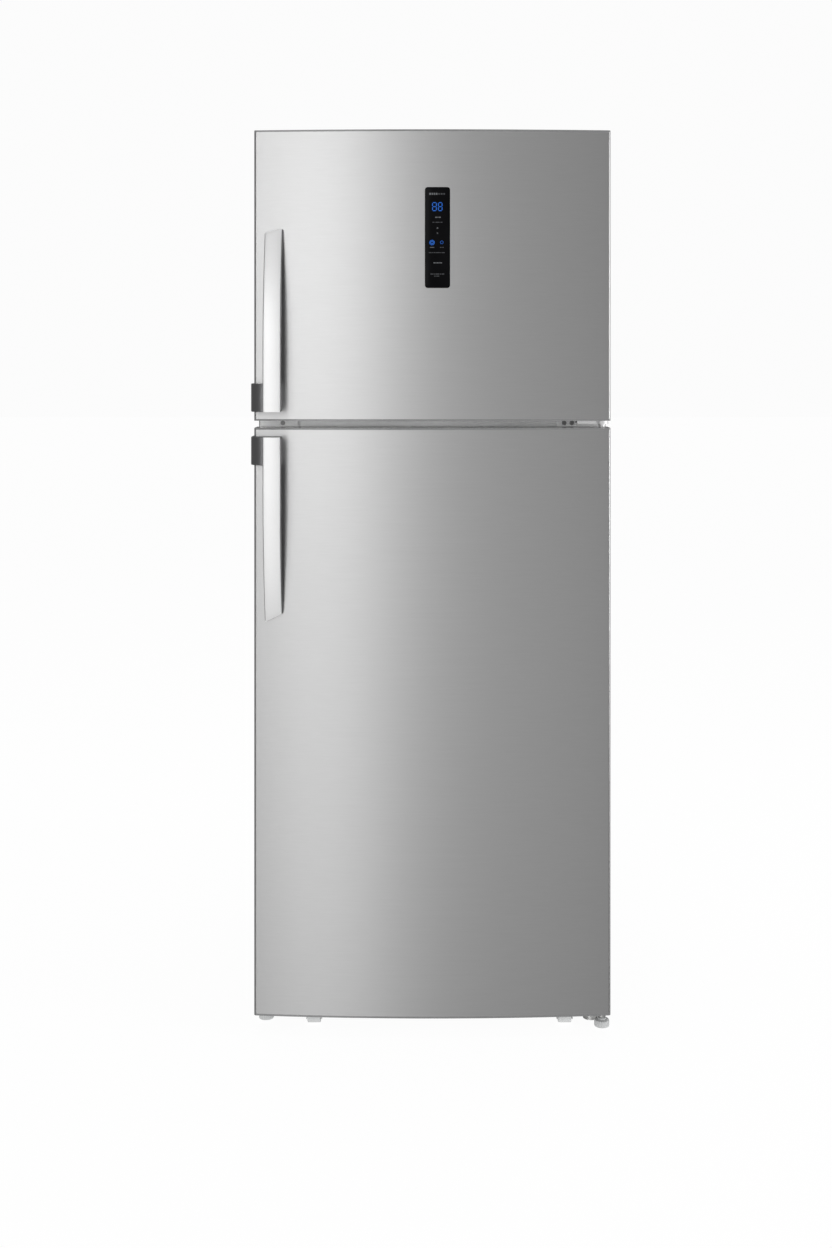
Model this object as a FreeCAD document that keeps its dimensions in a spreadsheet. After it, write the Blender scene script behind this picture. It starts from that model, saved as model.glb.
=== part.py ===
import FreeCAD, Part
import math
import os

import Sketcher
from FreeCAD import Placement, Rotation, Vector

# Top freezer refrigerator, in millimetres. +X right, +Y to the rear, +Z up. The origin lies on the
# floor, midway between the object's sides and between the handles' front and the condenser's rear.

doc = FreeCAD.newDocument("refrigerator")
sheet = doc.addObject("Spreadsheet::Sheet", "dims")

DIMENSIONS = {
    # doors
    "door_width": 700, "door_front": -314, "door_bow": 14, "door_thickness": 58,
    "door_corner": 5, "skin": 1, "cap_lip": 3.5, "cap_depth": 20,
    "top_cap_depth": 42, "recess_depth": 20, "recess_front": -300,
    "fridge_door_low": 38, "fridge_door_high": 1191,
    "freezer_door_low": 1205, "freezer_door_high": 1775,
    "fridge_dyke_outer": 290, "freezer_dyke_outer": 274,
    "dyke_width": 28, "fridge_dyke_depth": 58, "freezer_dyke_depth": 46,
    # gaskets
    "gasket_thickness": 12, "gasket_gap": 0.3, "gasket_outer": 328, "gasket_width": 16,
    "fridge_gasket_low": 64, "fridge_gasket_high": 1186,
    "freezer_gasket_low": 1210, "freezer_gasket_high": 1718,
    # hinge line
    "hinge_x": 337, "hinge_y": -272, "pin_radius": 4, "pin_clearance": 0.1, "pin_reach": 19,
    "arm_half": 13,
    # cabinet
    "cabinet_width": 696, "cabinet_low": 36, "cabinet_high": 1758, "cabinet_back": 334,
    "sheet_steel": 1, "case_flange": 44.5, "liner_wall": 1.5,
    "fridge_half": 302, "fridge_low": 94, "fridge_high": 1168, "fridge_back": 278,
    "hump_front_low": 118, "hump_front_high": 150, "hump_high": 285,
    "freezer_half": 286, "freezer_low": 1228, "freezer_high": 1696, "freezer_back": 264,
    "bay_front_low": 170, "bay_front_high": 200, "bay_high": 241,
    # handles
    "grip_left": -325.5, "grip_width": 31.5, "grip_front": -366, "grip_thick": 11,
    "grip_straight": 105, "grip_length": 366, "grip_seat": -323.6, "core_edge": 3,
    "fridge_grip_root": 1175, "freezer_grip_root": 1223.5,
    "bracket_height": 55, "bracket_side": -354, "bracket_rear": -268,
    # display
    "display_x": 10, "display_width": 49, "display_low": 1465, "display_high": 1662,
    "display_front": -328.6, "display_glass": 3.4, "display_corner": 5.5, "board_depth": 15,
    # shelves and what stands on them
    "shelf_front": -136, "shelf_back": 254, "shelf_half": 297, "glass": 5,
    "shelf_step": 210, "crisper_shelf": 330, "trim_depth": 12,
    "rib_reach": 10, "rib_height": 8,
    "bin_depth": 98, "bin_wall": 2.5,
    "drawer_half": 278, "drawer_wall": 2.5, "drawer_low": 98, "drawer_high": 312,
    "drawer_back": 98,
    # rolling and standing gear
    "foot_radius": 15, "foot_height": 17, "stem_radius": 4,
    "left_foot_x": -334, "left_foot_y": -235,
    "left_roller_x": -236, "right_roller_x": 264, "front_roller_y": -255, "front_roller_z": 15.3,
    "glide_x": 318, "glide_y": -235,
    "front_roller_radius": 15, "rear_roller_x": 321, "rear_roller_y": 300,
    "rear_roller_radius": 14, "roller_width": 26, "axle_radius": 3,
    # cold side
    "cover_front": 190, "cover_wall": 4, "fan_z": 1590, "fan_y": 212, "fan_radius": 55,
    # ice maker
    "ice_x": -195, "ice_half": 78, "ice_front": -130, "ice_rear": 150, "ice_axis": 1630,
    "tray_half": 50,
    # condenser
    "condenser_y": 358, "tube_radius": 3, "pass_half": 262, "pass_low": 330, "pass_step": 88,
    "passes": 14,
    # compressor
    "compressor_x": 120, "compressor_y": 262, "compressor_base": 46, "compressor_radius": 72,
}


class Size:
    """A length with its value and the spreadsheet expression that it comes from."""

    def __init__(self, value, text):
        self.value = float(value)
        self.text = text

    def joined(self, other, sign, flip=False):
        other = size(other)
        a, b = (other, self) if flip else (self, other)
        results = {
            "+": a.value + b.value,
            "-": a.value - b.value,
            "*": a.value * b.value,
            "/": a.value / b.value if b.value else 0.0,
        }
        return Size(results[sign], f"({a.text} {sign} {b.text})")

    def __add__(self, other):
        return self.joined(other, "+")

    def __radd__(self, other):
        return self.joined(other, "+", True)

    def __sub__(self, other):
        return self.joined(other, "-")

    def __rsub__(self, other):
        return self.joined(other, "-", True)

    def __mul__(self, other):
        return self.joined(other, "*")

    def __rmul__(self, other):
        return self.joined(other, "*", True)

    def __truediv__(self, other):
        return self.joined(other, "/")

    def __neg__(self):
        return Size(-self.value, f"(0 - {self.text})")


def size(thing):
    return thing if isinstance(thing, Size) else Size(thing, f"({float(thing)!r})")


def root(thing):
    return Size(math.sqrt(thing.value), f"sqrt({thing.text})")


class Dimensions:
    """Every driving dimension, as an attribute bound to its cell."""

    def __init__(self, table):
        for row, (name, value) in enumerate(table.items(), start=1):
            sheet.set(f"A{row}", name)
            sheet.set(f"B{row}", str(value))
            sheet.setAlias(f"B{row}", name)
            setattr(self, name, Size(value, f"dims.{name}"))


d = Dimensions(DIMENSIONS)
doc.recompute()
finished = {}


def keep(label, thing):
    """Registers a finished sub-part under the name of its node."""
    thing.Label = label
    finished[label] = thing
    return thing


def bind(thing, prop, value):
    value = size(value)
    thing.setExpression(prop, value.text)


# ---------------------------------------------------------------- Part primitives and booleans


def box(name, low, high):
    made = doc.addObject("Part::Box", name)
    for prop, a, b in zip(("Length", "Width", "Height"), low, high):
        bind(made, prop, size(b) - a)
    for axis, a in zip("xyz", low):
        bind(made, f".Placement.Base.{axis}", a)
    return made


TURNS = {
    "Z": Rotation(),
    "Y": Rotation(Vector(1, 0, 0), -90),
    "X": Rotation(Vector(0, 1, 0), 90),
}


def cylinder(name, start, radius, length, axis="Z"):
    made = doc.addObject("Part::Cylinder", name)
    made.Placement = Placement(Vector(), TURNS[axis])
    bind(made, "Radius", radius)
    bind(made, "Height", length)
    for letter, a in zip("xyz", start):
        bind(made, f".Placement.Base.{letter}", a)
    return made


def fuse(name, *shapes):
    made = doc.addObject("Part::MultiFuse", name)
    made.Shapes = list(shapes)
    made.Refine = True
    return made


def cut(name, base, *tools):
    made = doc.addObject("Part::Cut", name)
    made.Base = base
    made.Tool = tools[0] if len(tools) == 1 else fuse(name + "_tools", *tools)
    made.Refine = True
    return made


def group(name, *shapes):
    """Separate solids that share one node."""
    made = doc.addObject("Part::Compound", name)
    made.Links = list(shapes)
    return made


# ---------------------------------------------------------------- PartDesign bodies


class Body:
    """A PartDesign body with short names for the features used here."""

    def __init__(self, label):
        self.label = label
        self.count = 0
        self.body = doc.addObject("PartDesign::Body", label)

    def name(self, kind):
        self.count += 1
        return f"{self.label}_{kind}{self.count}"

    def sketch(self, plane, at=0):
        """A sketch on XY at height at, on XZ at depth at, or on YZ at width at."""
        made = self.body.newObject("Sketcher::SketchObject", self.name("sketch"))
        role = plane + "_Plane"
        support = [f for f in self.body.Origin.OriginFeatures if f.Role == role][0]
        made.AttachmentSupport = (support, [""])
        made.MapMode = "FlatFace"
        bind(made, ".AttachmentOffset.Base.z", -size(at) if plane == "XZ" else at)
        return made

    def pad(self, profile, length, reverse=False, middle=False):
        made = self.body.newObject("PartDesign::Pad", self.name("pad"))
        made.Profile = profile
        made.Reversed = reverse
        if middle:
            made.SideType = "Symmetric"
        bind(made, "Length", length)
        doc.recompute()
        return made

    def pocket(self, profile, length, reverse=False, middle=False):
        before = self.body.Shape.Volume
        made = self.body.newObject("PartDesign::Pocket", self.name("pocket"))
        made.Profile = profile
        made.Reversed = reverse
        if middle:
            made.SideType = "Symmetric"
        bind(made, "Length", length)
        doc.recompute()
        if not self.body.Shape.Volume < before - 0.01:
            raise RuntimeError(f"{made.Name} cuts nothing")
        return made

    def revolve(self, profile, axis, angle=360):
        made = self.body.newObject("PartDesign::Revolution", self.name("revolution"))
        made.Profile = profile
        made.ReferenceAxis = (profile, [axis])
        made.Angle = angle
        doc.recompute()
        return made

    def soften(self, chosen, radius):
        """Rounds the edges of the tip that chosen(edge) accepts."""
        tip = self.body.Tip
        names = [f"Edge{i + 1}" for i, e in enumerate(tip.Shape.Edges) if chosen(e)]
        if not names:
            raise RuntimeError(f"{self.label}: no edge to round")
        made = self.body.newObject("PartDesign::Fillet", self.name("fillet"))
        made.Base = (tip, names)
        bind(made, "Radius", radius)
        doc.recompute()
        return made

    def keep(self):
        return keep(self.label, self.body)


def outline(sketch, points, arcs=None, closed=True):
    """Lines through points. arcs names the centre of each side that is round, by its first point."""
    arcs = arcs or {}
    points = [(size(u), size(v)) for u, v in points]
    flat = [Vector(u.value, v.value, 0) for u, v in points]
    count = len(points)
    sides = count if closed else count - 1
    first = sketch.GeometryCount
    starts = []
    for i in range(sides):
        a, b = flat[i], flat[(i + 1) % count]
        if i in arcs:
            centre = Vector(size(arcs[i][0]).value, size(arcs[i][1]).value, 0)
            reach = (a - centre).Length
            middle = centre + ((a + b) * 0.5 - centre).normalize() * reach
            index = sketch.addGeometry(Part.Arc(a, middle, b), False)
            starts.append(1 if sketch.getPoint(index, 1).isEqual(a, 1e-6) else 2)
        else:
            sketch.addGeometry(Part.LineSegment(a, b), False)
            starts.append(1)

    def hold(side, end, place):
        for kind, distance in zip(("DistanceX", "DistanceY"), place):
            rule = Sketcher.Constraint(kind, -1, 1, first + side, end, distance.value)
            number = sketch.addConstraint(rule)
            sketch.setExpression(f"Constraints[{number}]", distance.text)

    for i in range(sides):
        hold(i, starts[i], points[i])
        if closed or i < sides - 1:
            after = (i + 1) % sides
            ends = (first + i, 3 - starts[i], first + after, starts[after])
            sketch.addConstraint(Sketcher.Constraint("Coincident", *ends))
    if not closed:
        hold(sides - 1, 3 - starts[sides - 1], points[sides])
    for i, (u, v) in arcs.items():
        du, dv = points[i][0] - u, points[i][1] - v
        reach = root(du * du + dv * dv)
        number = sketch.addConstraint(Sketcher.Constraint("Radius", first + i, reach.value))
        sketch.setExpression(f"Constraints[{number}]", reach.text)
    return sketch


def rectangle(sketch, low, high):
    (u0, v0), (u1, v1) = low, high
    return outline(sketch, [(u0, v0), (u1, v0), (u1, v1), (u0, v1)])


def rounded(sketch, low, high, radius):
    """A rectangle with four round corners."""
    (u0, v0), (u1, v1) = [(size(u), size(v)) for u, v in (low, high)]
    r = size(radius)
    points = [
        (u0 + r, v0), (u1 - r, v0), (u1, v0 + r), (u1, v1 - r),
        (u1 - r, v1), (u0 + r, v1), (u0, v1 - r), (u0, v0 + r),
    ]
    centres = {
        1: (u1 - r, v0 + r), 3: (u1 - r, v1 - r), 5: (u0 + r, v1 - r), 7: (u0 + r, v0 + r)
    }
    return outline(sketch, points, centres)


def circle(sketch, u, v, radius):
    u, v, radius = size(u), size(v), size(radius)
    middle = Vector(u.value, v.value, 0)
    index = sketch.addGeometry(Part.Circle(middle, Vector(0, 0, 1), radius.value), False)
    number = sketch.addConstraint(Sketcher.Constraint("Radius", index, radius.value))
    sketch.setExpression(f"Constraints[{number}]", radius.text)
    for kind, place in (("DistanceX", u), ("DistanceY", v)):
        number = sketch.addConstraint(Sketcher.Constraint(kind, -1, 1, index, 3, place.value))
        sketch.setExpression(f"Constraints[{number}]", place.text)
    return sketch


def tub(label, x, y, z, wall, radius):
    """An open box with round upright corners."""
    (x0, x1), (y0, y1), (z0, z1) = [(size(a), size(b)) for a, b in (x, y, z)]
    made = Body(label)
    made.pad(rounded(made.sketch("XY", z0), (x0, y0), (x1, y1), radius), z1 - z0)
    low, high = (x0 + wall, y0 + wall), (x1 - wall, y1 - wall)
    made.pocket(rounded(made.sketch("XY", z1), low, high, size(radius) - wall), z1 - z0 - wall)
    return made


def screw(name, x, y, z, axis):
    """A cross-recessed screw head that sits on a face looking along the axis."""
    radius, height, slot_length, slot_width, slot_depth = 4.5, 2.4, 2.6, 0.6, 1.2
    if axis == "Z":
        head = cylinder(name + "_head", (x, y, z), radius, height, "Z")
        low, high = size(z) + height - slot_depth, size(z) + height + 1
        long_slot = box(name + "_a", (x - slot_length, y - slot_width, low),
                        (x + slot_length, y + slot_width, high))
        cross_slot = box(name + "_b", (x - slot_width, y - slot_length, low),
                         (x + slot_width, y + slot_length, high))
    else:
        # a head on a front face stands out towards -Y
        head = cylinder(name + "_head", (x, y - height, z), radius, height, "Y")
        low, high = size(y) - height - 1, size(y) - height + slot_depth
        long_slot = box(name + "_a", (x - slot_length, low, z - slot_width),
                        (x + slot_length, high, z + slot_width))
        cross_slot = box(name + "_b", (x - slot_width, low, z - slot_length),
                         (x + slot_width, high, z + slot_length))
    return cut(name, head, long_slot, cross_slot)


# ---------------------------------------------------------------- shared lengths

door_half = d.door_width / 2
door_back = d.door_front + d.door_thickness
bow_end = door_half - d.door_corner
corner_turn = d.door_front + d.door_corner
bow_radius = (bow_end * bow_end + d.door_bow * d.door_bow) / (d.door_bow * 2)
bow_centre = d.door_front - d.door_bow + bow_radius

cabinet_half = d.cabinet_width / 2
cabinet_front = door_back + d.gasket_thickness
frame_inner = cabinet_half - d.case_flange
inside_half = cabinet_half - d.sheet_steel
clear = size(0.2)

# ---------------------------------------------------------------- cabinet: outer sheet metal

made = Body("cabinet_wrapper")
outer, inner = cabinet_half, inside_half
top, under = d.cabinet_high, d.cabinet_high - d.sheet_steel
bend = size(4)
turn_x, turn_z = outer - bend, top - bend
fold = [
    (-outer, d.cabinet_low), (-inner, d.cabinet_low), (-inner, turn_z), (-turn_x, under),
    (turn_x, under), (inner, turn_z), (inner, d.cabinet_low), (outer, d.cabinet_low),
    (outer, turn_z), (turn_x, top), (-turn_x, top), (-outer, turn_z),
]
left_centre, right_centre = (-turn_x, turn_z), (turn_x, turn_z)
centres = {2: left_centre, 4: right_centre, 8: right_centre, 10: left_centre}
profile = outline(made.sketch("XZ", cabinet_front), fold, centres)
made.pad(profile, d.cabinet_back - cabinet_front, reverse=True)
flange_top = top - d.case_flange
frame = [
    (-outer, d.cabinet_low), (-frame_inner, d.cabinet_low), (-frame_inner, flange_top),
    (frame_inner, flange_top), (frame_inner, d.cabinet_low), (outer, d.cabinet_low),
    (outer, turn_z), (turn_x, top), (-turn_x, top), (-outer, turn_z),
]
profile = outline(made.sketch("XZ", cabinet_front), frame, {6: right_centre, 8: left_centre})
made.pad(profile, d.sheet_steel, reverse=True)
made.keep()

# The base pan turns up at the front and steps over the compressor bay at the rear.
slope = size(0.87)
pan_back = d.cabinet_back - d.sheet_steel
pan_top = d.fridge_low - d.liner_wall - clear
bay_roof = d.bay_high + d.sheet_steel
pan_floor = d.cabinet_low + d.sheet_steel
made = Body("base_pan")
profile = [
    (cabinet_front, pan_top), (cabinet_front, d.cabinet_low), (d.bay_front_low, d.cabinet_low),
    (d.bay_front_high, d.bay_high), (pan_back, d.bay_high), (pan_back, bay_roof),
    (d.bay_front_high - slope, bay_roof), (d.bay_front_low - slope, pan_floor),
    (cabinet_front + d.sheet_steel, pan_floor), (cabinet_front + d.sheet_steel, pan_top),
]
middle_width = (frame_inner - clear) * 2
made.pad(outline(made.sketch("YZ"), profile), middle_width, middle=True)
# The wider part starts behind the front flanges of the wrapper.
behind_flange = cabinet_front + 1.2
behind = [(behind_flange, d.cabinet_low)] + profile[2:8] + [(behind_flange, pan_floor)]
made.pad(outline(made.sketch("YZ"), behind), (inside_half - 0.1) * 2, middle=True)
made.keep()

made = Body("back_panel")
panel_half = inside_half - 0.1
profile = rounded(
    made.sketch("XZ", d.cabinet_back), (-panel_half, bay_roof), (panel_half, under - 0.1), 3.2)
made.pad(profile, d.sheet_steel)
made.keep()

# ---------------------------------------------------------------- cabinet: liners and insulation

fridge_outer_high = d.fridge_high + d.liner_wall
freezer_outer_low = d.freezer_low - d.liner_wall
freezer_outer_high = d.freezer_high + d.liner_wall
fridge_outer_half = d.fridge_half + d.liner_wall
freezer_outer_half = d.freezer_half + d.liner_wall
hump_shift = d.liner_wall * 0.85


def fridge_side(sketch, front, grow):
    """The side view of the fridge compartment, grown by a share of the liner wall."""
    wall, shift = d.liner_wall * grow, hump_shift * grow
    points = [
        (front, d.fridge_low - wall), (d.hump_front_low + shift, d.fridge_low - wall),
        (d.hump_front_high + shift, d.hump_high - wall), (d.fridge_back + wall, d.hump_high - wall),
        (d.fridge_back + wall, d.fridge_high + wall), (front, d.fridge_high + wall),
    ]
    return outline(sketch, points)


shelf_tops = [d.crisper_shelf + d.shelf_step * step for step in range(4)]
pane_front, pane_back = d.shelf_front + d.trim_depth, d.shelf_back - 10

made = Body("fridge_liner")
made.pad(fridge_side(made.sketch("YZ"), cabinet_front, 1), (fridge_outer_half - clear) * 2, middle=True)
made.pocket(fridge_side(made.sketch("YZ"), cabinet_front - 1, 0), d.fridge_half * 2, middle=True)
for side in (-1, 1):
    ribs = made.sketch("YZ", d.fridge_half * side)
    # one rib for each end of each glass pane
    for shelf in shelf_tops:
        low = shelf - d.glass - d.rib_height
        rectangle(ribs, (pane_front + 0.5, low), (pane_back - 0.5, shelf - d.glass))
    made.pad(ribs, d.rib_reach, reverse=side > 0)
made.keep()

made = Body("freezer_liner")
low, high = freezer_outer_low, freezer_outer_high
profile = rectangle(
    made.sketch("XZ", cabinet_front), (-freezer_outer_half, low), (freezer_outer_half, high))
made.pad(profile, d.freezer_back + d.liner_wall - cabinet_front, reverse=True)
lip = frame_inner - clear
profile = rectangle(made.sketch("XZ", cabinet_front), (-lip, low), (lip, flange_top - clear))
made.pad(profile, d.liner_wall, reverse=True)
inside = ((-d.freezer_half, d.freezer_low), (d.freezer_half, d.freezer_high))
made.pocket(rounded(made.sketch("XZ", cabinet_front), *inside, 14), d.freezer_back - cabinet_front)
freezer_shelf_low = size(1456)
for side in (-1, 1):
    ribs = made.sketch("YZ", d.freezer_half * side)
    rectangle(ribs, (-110, freezer_shelf_low - 8), (180, freezer_shelf_low))
    made.pad(ribs, 10, reverse=side > 0)
made.keep()

made = Body("cabinet_foam")
foam_front, foam_back = cabinet_front + d.liner_wall + clear, pan_back - clear
foam_top = under - 0.4
profile = [
    (foam_front, pan_floor + clear), (d.bay_front_low - slope - clear, pan_floor + clear),
    (d.bay_front_high - slope - clear, bay_roof + clear), (foam_back, bay_roof + clear),
    (foam_back, foam_top), (foam_front, foam_top),
]
made.pad(outline(made.sketch("YZ"), profile), (inside_half - 0.4) * 2, middle=True)
made.pocket(fridge_side(made.sketch("YZ"), foam_front - 5, 1.14), fridge_outer_half * 2, middle=True)
grown = ((-freezer_outer_half - clear, low - clear), (freezer_outer_half + clear, high + clear))
deep = d.freezer_back + d.liner_wall + clear - foam_front + 5
made.pocket(rectangle(made.sketch("XZ", foam_front - 5), *grown), deep)
rail_depth = size(24)
profile = rectangle(
    made.sketch("XZ", foam_front - 5), (-frame_inner, fridge_outer_high - 1), (frame_inner, low + 1))
made.pocket(profile, rail_depth + 5)
made.soften(
    lambda e: abs(e.BoundBox.YLength) > 400 and e.BoundBox.ZMin > foam_top.value - 1
    and e.BoundBox.XLength < 0.1, 3.2)
made.keep()

made = Body("centre_rail")
rail_low, rail_high = fridge_outer_high + clear, freezer_outer_low - clear
rail_back, sheet_in = cabinet_front + rail_depth - 2, cabinet_front + d.sheet_steel
profile = [
    (cabinet_front, rail_low), (rail_back, rail_low), (rail_back, rail_low + d.sheet_steel),
    (sheet_in, rail_low + d.sheet_steel), (sheet_in, rail_high - d.sheet_steel),
    (rail_back, rail_high - d.sheet_steel), (rail_back, rail_high), (cabinet_front, rail_high),
]
made.pad(outline(made.sketch("YZ"), profile), (frame_inner - clear) * 2, middle=True)
made.keep()

# ---------------------------------------------------------------- hinges

gap_low, gap_high = d.fridge_door_high, d.freezer_door_low
plate = size(4)
arm_thick = size(6.5)
arm_low = gap_high - arm_thick - 1
hinge_face = cabinet_front - plate
pin_bottom, pin_top = gap_low - d.pin_reach, gap_high + d.pin_reach


def arm_outline(sketch, left, rear, shoulder):
    """A hinge arm seen from above: straight from the rear, then round about the pin."""
    r = d.arm_half
    points = [
        (left, rear), (left, rear - shoulder), (d.hinge_x - r * 0.6, d.hinge_y - r * 0.8),
        (d.hinge_x + r, d.hinge_y), (d.hinge_x + r - 4, rear),
    ]
    return outline(sketch, points, {2: (d.hinge_x, d.hinge_y)})


made = Body("middle_hinge")
made.pad(arm_outline(made.sketch("XY", arm_low), 287, cabinet_front, 38), arm_thick)
notch = rectangle(made.sketch("XY", arm_low - 1), (325.5, d.hinge_y - 20), (329.5, d.hinge_y - 5))
made.pocket(notch, arm_thick + 2, reverse=True)
upright = rectangle(made.sketch("XZ", cabinet_front), (249, gap_low - 3), (345, gap_high + 3))
made.pad(upright, plate)
middle = (gap_low + gap_high) / 2
slot = rounded(made.sketch("XZ", hinge_face - 1), (257.5, middle - 5.8), (271.5, middle + 5.8), 5.4)
made.pocket(slot, plate)
made.pad(circle(made.sketch("XY", pin_bottom), d.hinge_x, d.hinge_y, d.pin_radius), pin_top - pin_bottom)
collar = circle(made.sketch("XY", gap_low + 0.6), d.hinge_x, d.hinge_y, 7)
made.pad(collar, gap_high - gap_low - 1.2)
made.keep()

recess_floor = d.freezer_door_high - d.recess_depth
made = Body("top_hinge")
made.pad(arm_outline(made.sketch("XY", d.cabinet_high), d.hinge_x - d.arm_half, -236, 2), 3)
profile = rounded(made.sketch("XY", d.cabinet_high), (250, -238), (346, -120), 8)
made.pad(profile, 3)
profile = circle(made.sketch("XY", d.cabinet_high), d.hinge_x, d.hinge_y, d.pin_radius)
made.pad(profile, d.cabinet_high - recess_floor + d.pin_reach, reverse=True)
made.keep()

made = Body("top_hinge_cover")
cover_low, cover_high = d.cabinet_high + 3.2, d.freezer_door_high - 1
profile = rounded(made.sketch("XY", cover_low), (244, -240), (347.5, -114), 8)
made.pad(profile, cover_high - cover_low)
nose = arm_outline(made.sketch("XY", cover_low), d.hinge_x - d.arm_half, -236, 2)
made.pad(nose, cover_high - cover_low)
hollow = rounded(made.sketch("XY", cover_low), (247, -237), (344.5, -117), 6)
made.pocket(hollow, cover_high - cover_low - 2.5, reverse=True)
made.keep()

foot_plate = d.cabinet_low - 7
made = Body("bottom_hinge")
made.pad(arm_outline(made.sketch("XY", foot_plate), 290, cabinet_front, 18), plate)
upright = rectangle(made.sketch("XZ", cabinet_front), (285, foot_plate), (345, d.fridge_gasket_low - 2))
made.pad(upright, plate)
boss = circle(made.sketch("XY", foot_plate), d.hinge_x, d.hinge_y, 8)
made.pad(boss, 9, reverse=True)
collar = circle(made.sketch("XY", foot_plate), d.hinge_x, d.hinge_y, 7)
made.pad(collar, d.fridge_door_low - foot_plate - 0.6)
pin = circle(made.sketch("XY", foot_plate), d.hinge_x, d.hinge_y, d.pin_radius)
made.pad(pin, d.fridge_door_low + d.pin_reach - foot_plate)
bore = circle(made.sketch("XY", foot_plate - 10), d.hinge_x, d.hinge_y, d.stem_radius + 0.1)
made.pocket(bore, 11, reverse=True)
made.keep()

made = Body("hinge_hole_cover")
profile = rounded(made.sketch("XZ", cabinet_front), (-345, gap_low - 3), (-266, gap_high + 3), 3)
made.pad(profile, 6.5)
made.pocket(circle(made.sketch("XZ", cabinet_front - 6.5), -299.6, middle, 5.2), 3)
slit = rectangle(made.sketch("XZ", cabinet_front - 6.5), (-268.8, middle - 4), (-267.2, middle + 4))
made.pocket(slit, 4)
made.keep()

keep("cabinet_screws", group(
    "cabinet_screws",
    screw("rail_screw", size(-299.6), cabinet_front - 3.5, middle, "Y"),
    screw("middle_screw_a", size(264.5), hinge_face + plate - 1, middle, "Y"),
    screw("middle_screw_b", size(279.5), hinge_face, middle, "Y"),
    screw("top_screw_a", size(262), size(-132), d.cabinet_high + 3, "Z"),
    screw("top_screw_b", size(334), size(-132), d.cabinet_high + 3, "Z"),
    screw("top_screw_c", size(298), size(-200), d.cabinet_high + 3, "Z"),
    screw("low_screw_a", size(298), hinge_face, foot_plate + 22, "Y"),
    screw("low_screw_b", size(330), hinge_face, foot_plate + 26, "Y"),
))

# ---------------------------------------------------------------- feet, rollers and their steel


def foot(label, x, y):
    made = Body(label)
    made.pad(circle(made.sketch("XY"), 0, 0, d.foot_radius), d.foot_height)
    made.soften(lambda e: e.BoundBox.ZLength < 0.1 and e.BoundBox.XLength > 20, 1.5)
    notches = made.sketch("XY", d.foot_height)
    rectangle(notches, (-1.5, 8), (1.5, 18))
    rectangle(notches, (-1.5, -18), (1.5, -8))
    made.pocket(notches, 6)
    stem = circle(made.sketch("XY", d.foot_height), 0, 0, d.stem_radius)
    made.pad(stem, foot_plate + 1 - d.foot_height - 0.5)
    made.keep()
    bind(made.body, ".Placement.Base.x", x)
    bind(made.body, ".Placement.Base.y", y)


foot("foot_left", d.left_foot_x, d.left_foot_y)
foot("foot_right", d.hinge_x, d.hinge_y)


def roller(label, x, y, radius):
    """A grooved roller that turns about X on its own axle."""
    made = Body(label)
    half = d.roller_width / 2
    made.pad(circle(made.sketch("YZ"), 0, 0, radius), d.roller_width, middle=True)
    made.soften(lambda e: e.BoundBox.XLength < 0.1, 2)
    made.pocket(circle(made.sketch("YZ", half + 1), 0, 0, d.axle_radius + 0.1), d.roller_width + 2)
    rings = made.sketch("YZ", half + 0.5)
    circle(rings, 0, 0, 10)
    circle(rings, 0, 0, 6)
    made.pocket(rings, 4.5)
    made.keep()
    bind(made.body, ".Placement.Base.x", x)
    bind(made.body, ".Placement.Base.y", y)
    return made


front_roller = (d.front_roller_y, d.front_roller_radius)
rear_roller = (d.rear_roller_y, d.rear_roller_radius)
for label, x, (y, radius), z in (
        ("front_roller_left", d.left_roller_x, front_roller, d.front_roller_z),
        ("front_roller_right", d.right_roller_x, front_roller, d.front_roller_z),
        ("rear_roller_left", -d.rear_roller_x, rear_roller, d.rear_roller_radius),
        ("rear_roller_right", d.rear_roller_x, rear_roller, d.rear_roller_radius)):
    bind(roller(label, x, y, radius).body, ".Placement.Base.z", z)


def fork(name, x, y, z, top, web_back):
    """Two cheeks, the axle that carries one roller and a web that reaches back to its fixing."""
    x, y, z, top = size(x), size(y), size(z), size(top)
    near, far = d.roller_width / 2 + 1, d.roller_width / 2 + 3
    left = box(name + "_left", (x - far, y - 9, z - 6), (x - near, y + 9, top))
    right = box(name + "_right", (x + near, y - 9, z - 6), (x + far, y + 9, top))
    web = box(name + "_web", (x - far, y - 9, top - 2), (x + far, web_back, top))
    axle = cylinder(name + "_axle", (x - far, y, z), d.axle_radius, far * 2, "X")
    return fuse(name, left, right, web, axle)


rail_front, rail_rear, rail_top = size(205), size(325), d.compressor_base
carrier = Body("carrier")
edge = size(2)
profile = [
    (rail_front, d.cabinet_low), (rail_front + edge, d.cabinet_low), (rail_front + edge, rail_top - edge),
    (rail_rear - edge, rail_top - edge), (rail_rear - edge, d.cabinet_low), (rail_rear, d.cabinet_low),
    (rail_rear, rail_top), (rail_front, rail_top),
]
carrier.pad(outline(carrier.sketch("YZ"), profile), (inside_half - 0.2) * 2, middle=True)

x, y = d.left_foot_x, d.left_foot_y
bracket = box("left_bracket_plate", (x - 13, y - 13, foot_plate), (x + 22, y + 24, foot_plate + plate))
tie = box("left_bracket_tie", (x - 13, y + 14, foot_plate), (x + 22, y + 24, d.cabinet_low))
nut = cylinder("left_bracket_nut", (x, y, foot_plate - 9), 8, 10)
bore = cylinder("left_bracket_bore", (x, y, foot_plate - 10), d.stem_radius + 0.1, 11)
left_bracket = cut("left_bracket", fuse("left_bracket_solid", bracket, tie, nut), bore)
x, y = d.glide_x, d.glide_y
pad = cylinder("glide_pad", (x, y, 1), d.foot_radius, d.foot_height - 1)
post = cylinder("glide_post", (x, y, d.foot_height), d.stem_radius, d.cabinet_low - d.foot_height)
glide = fuse("glide", pad, post)
lower = rail_top - edge
front = (d.front_roller_y, d.front_roller_z, d.cabinet_low, cabinet_front + 12)
rear = (d.rear_roller_y, d.rear_roller_radius, lower, d.rear_roller_y + 9)
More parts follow.
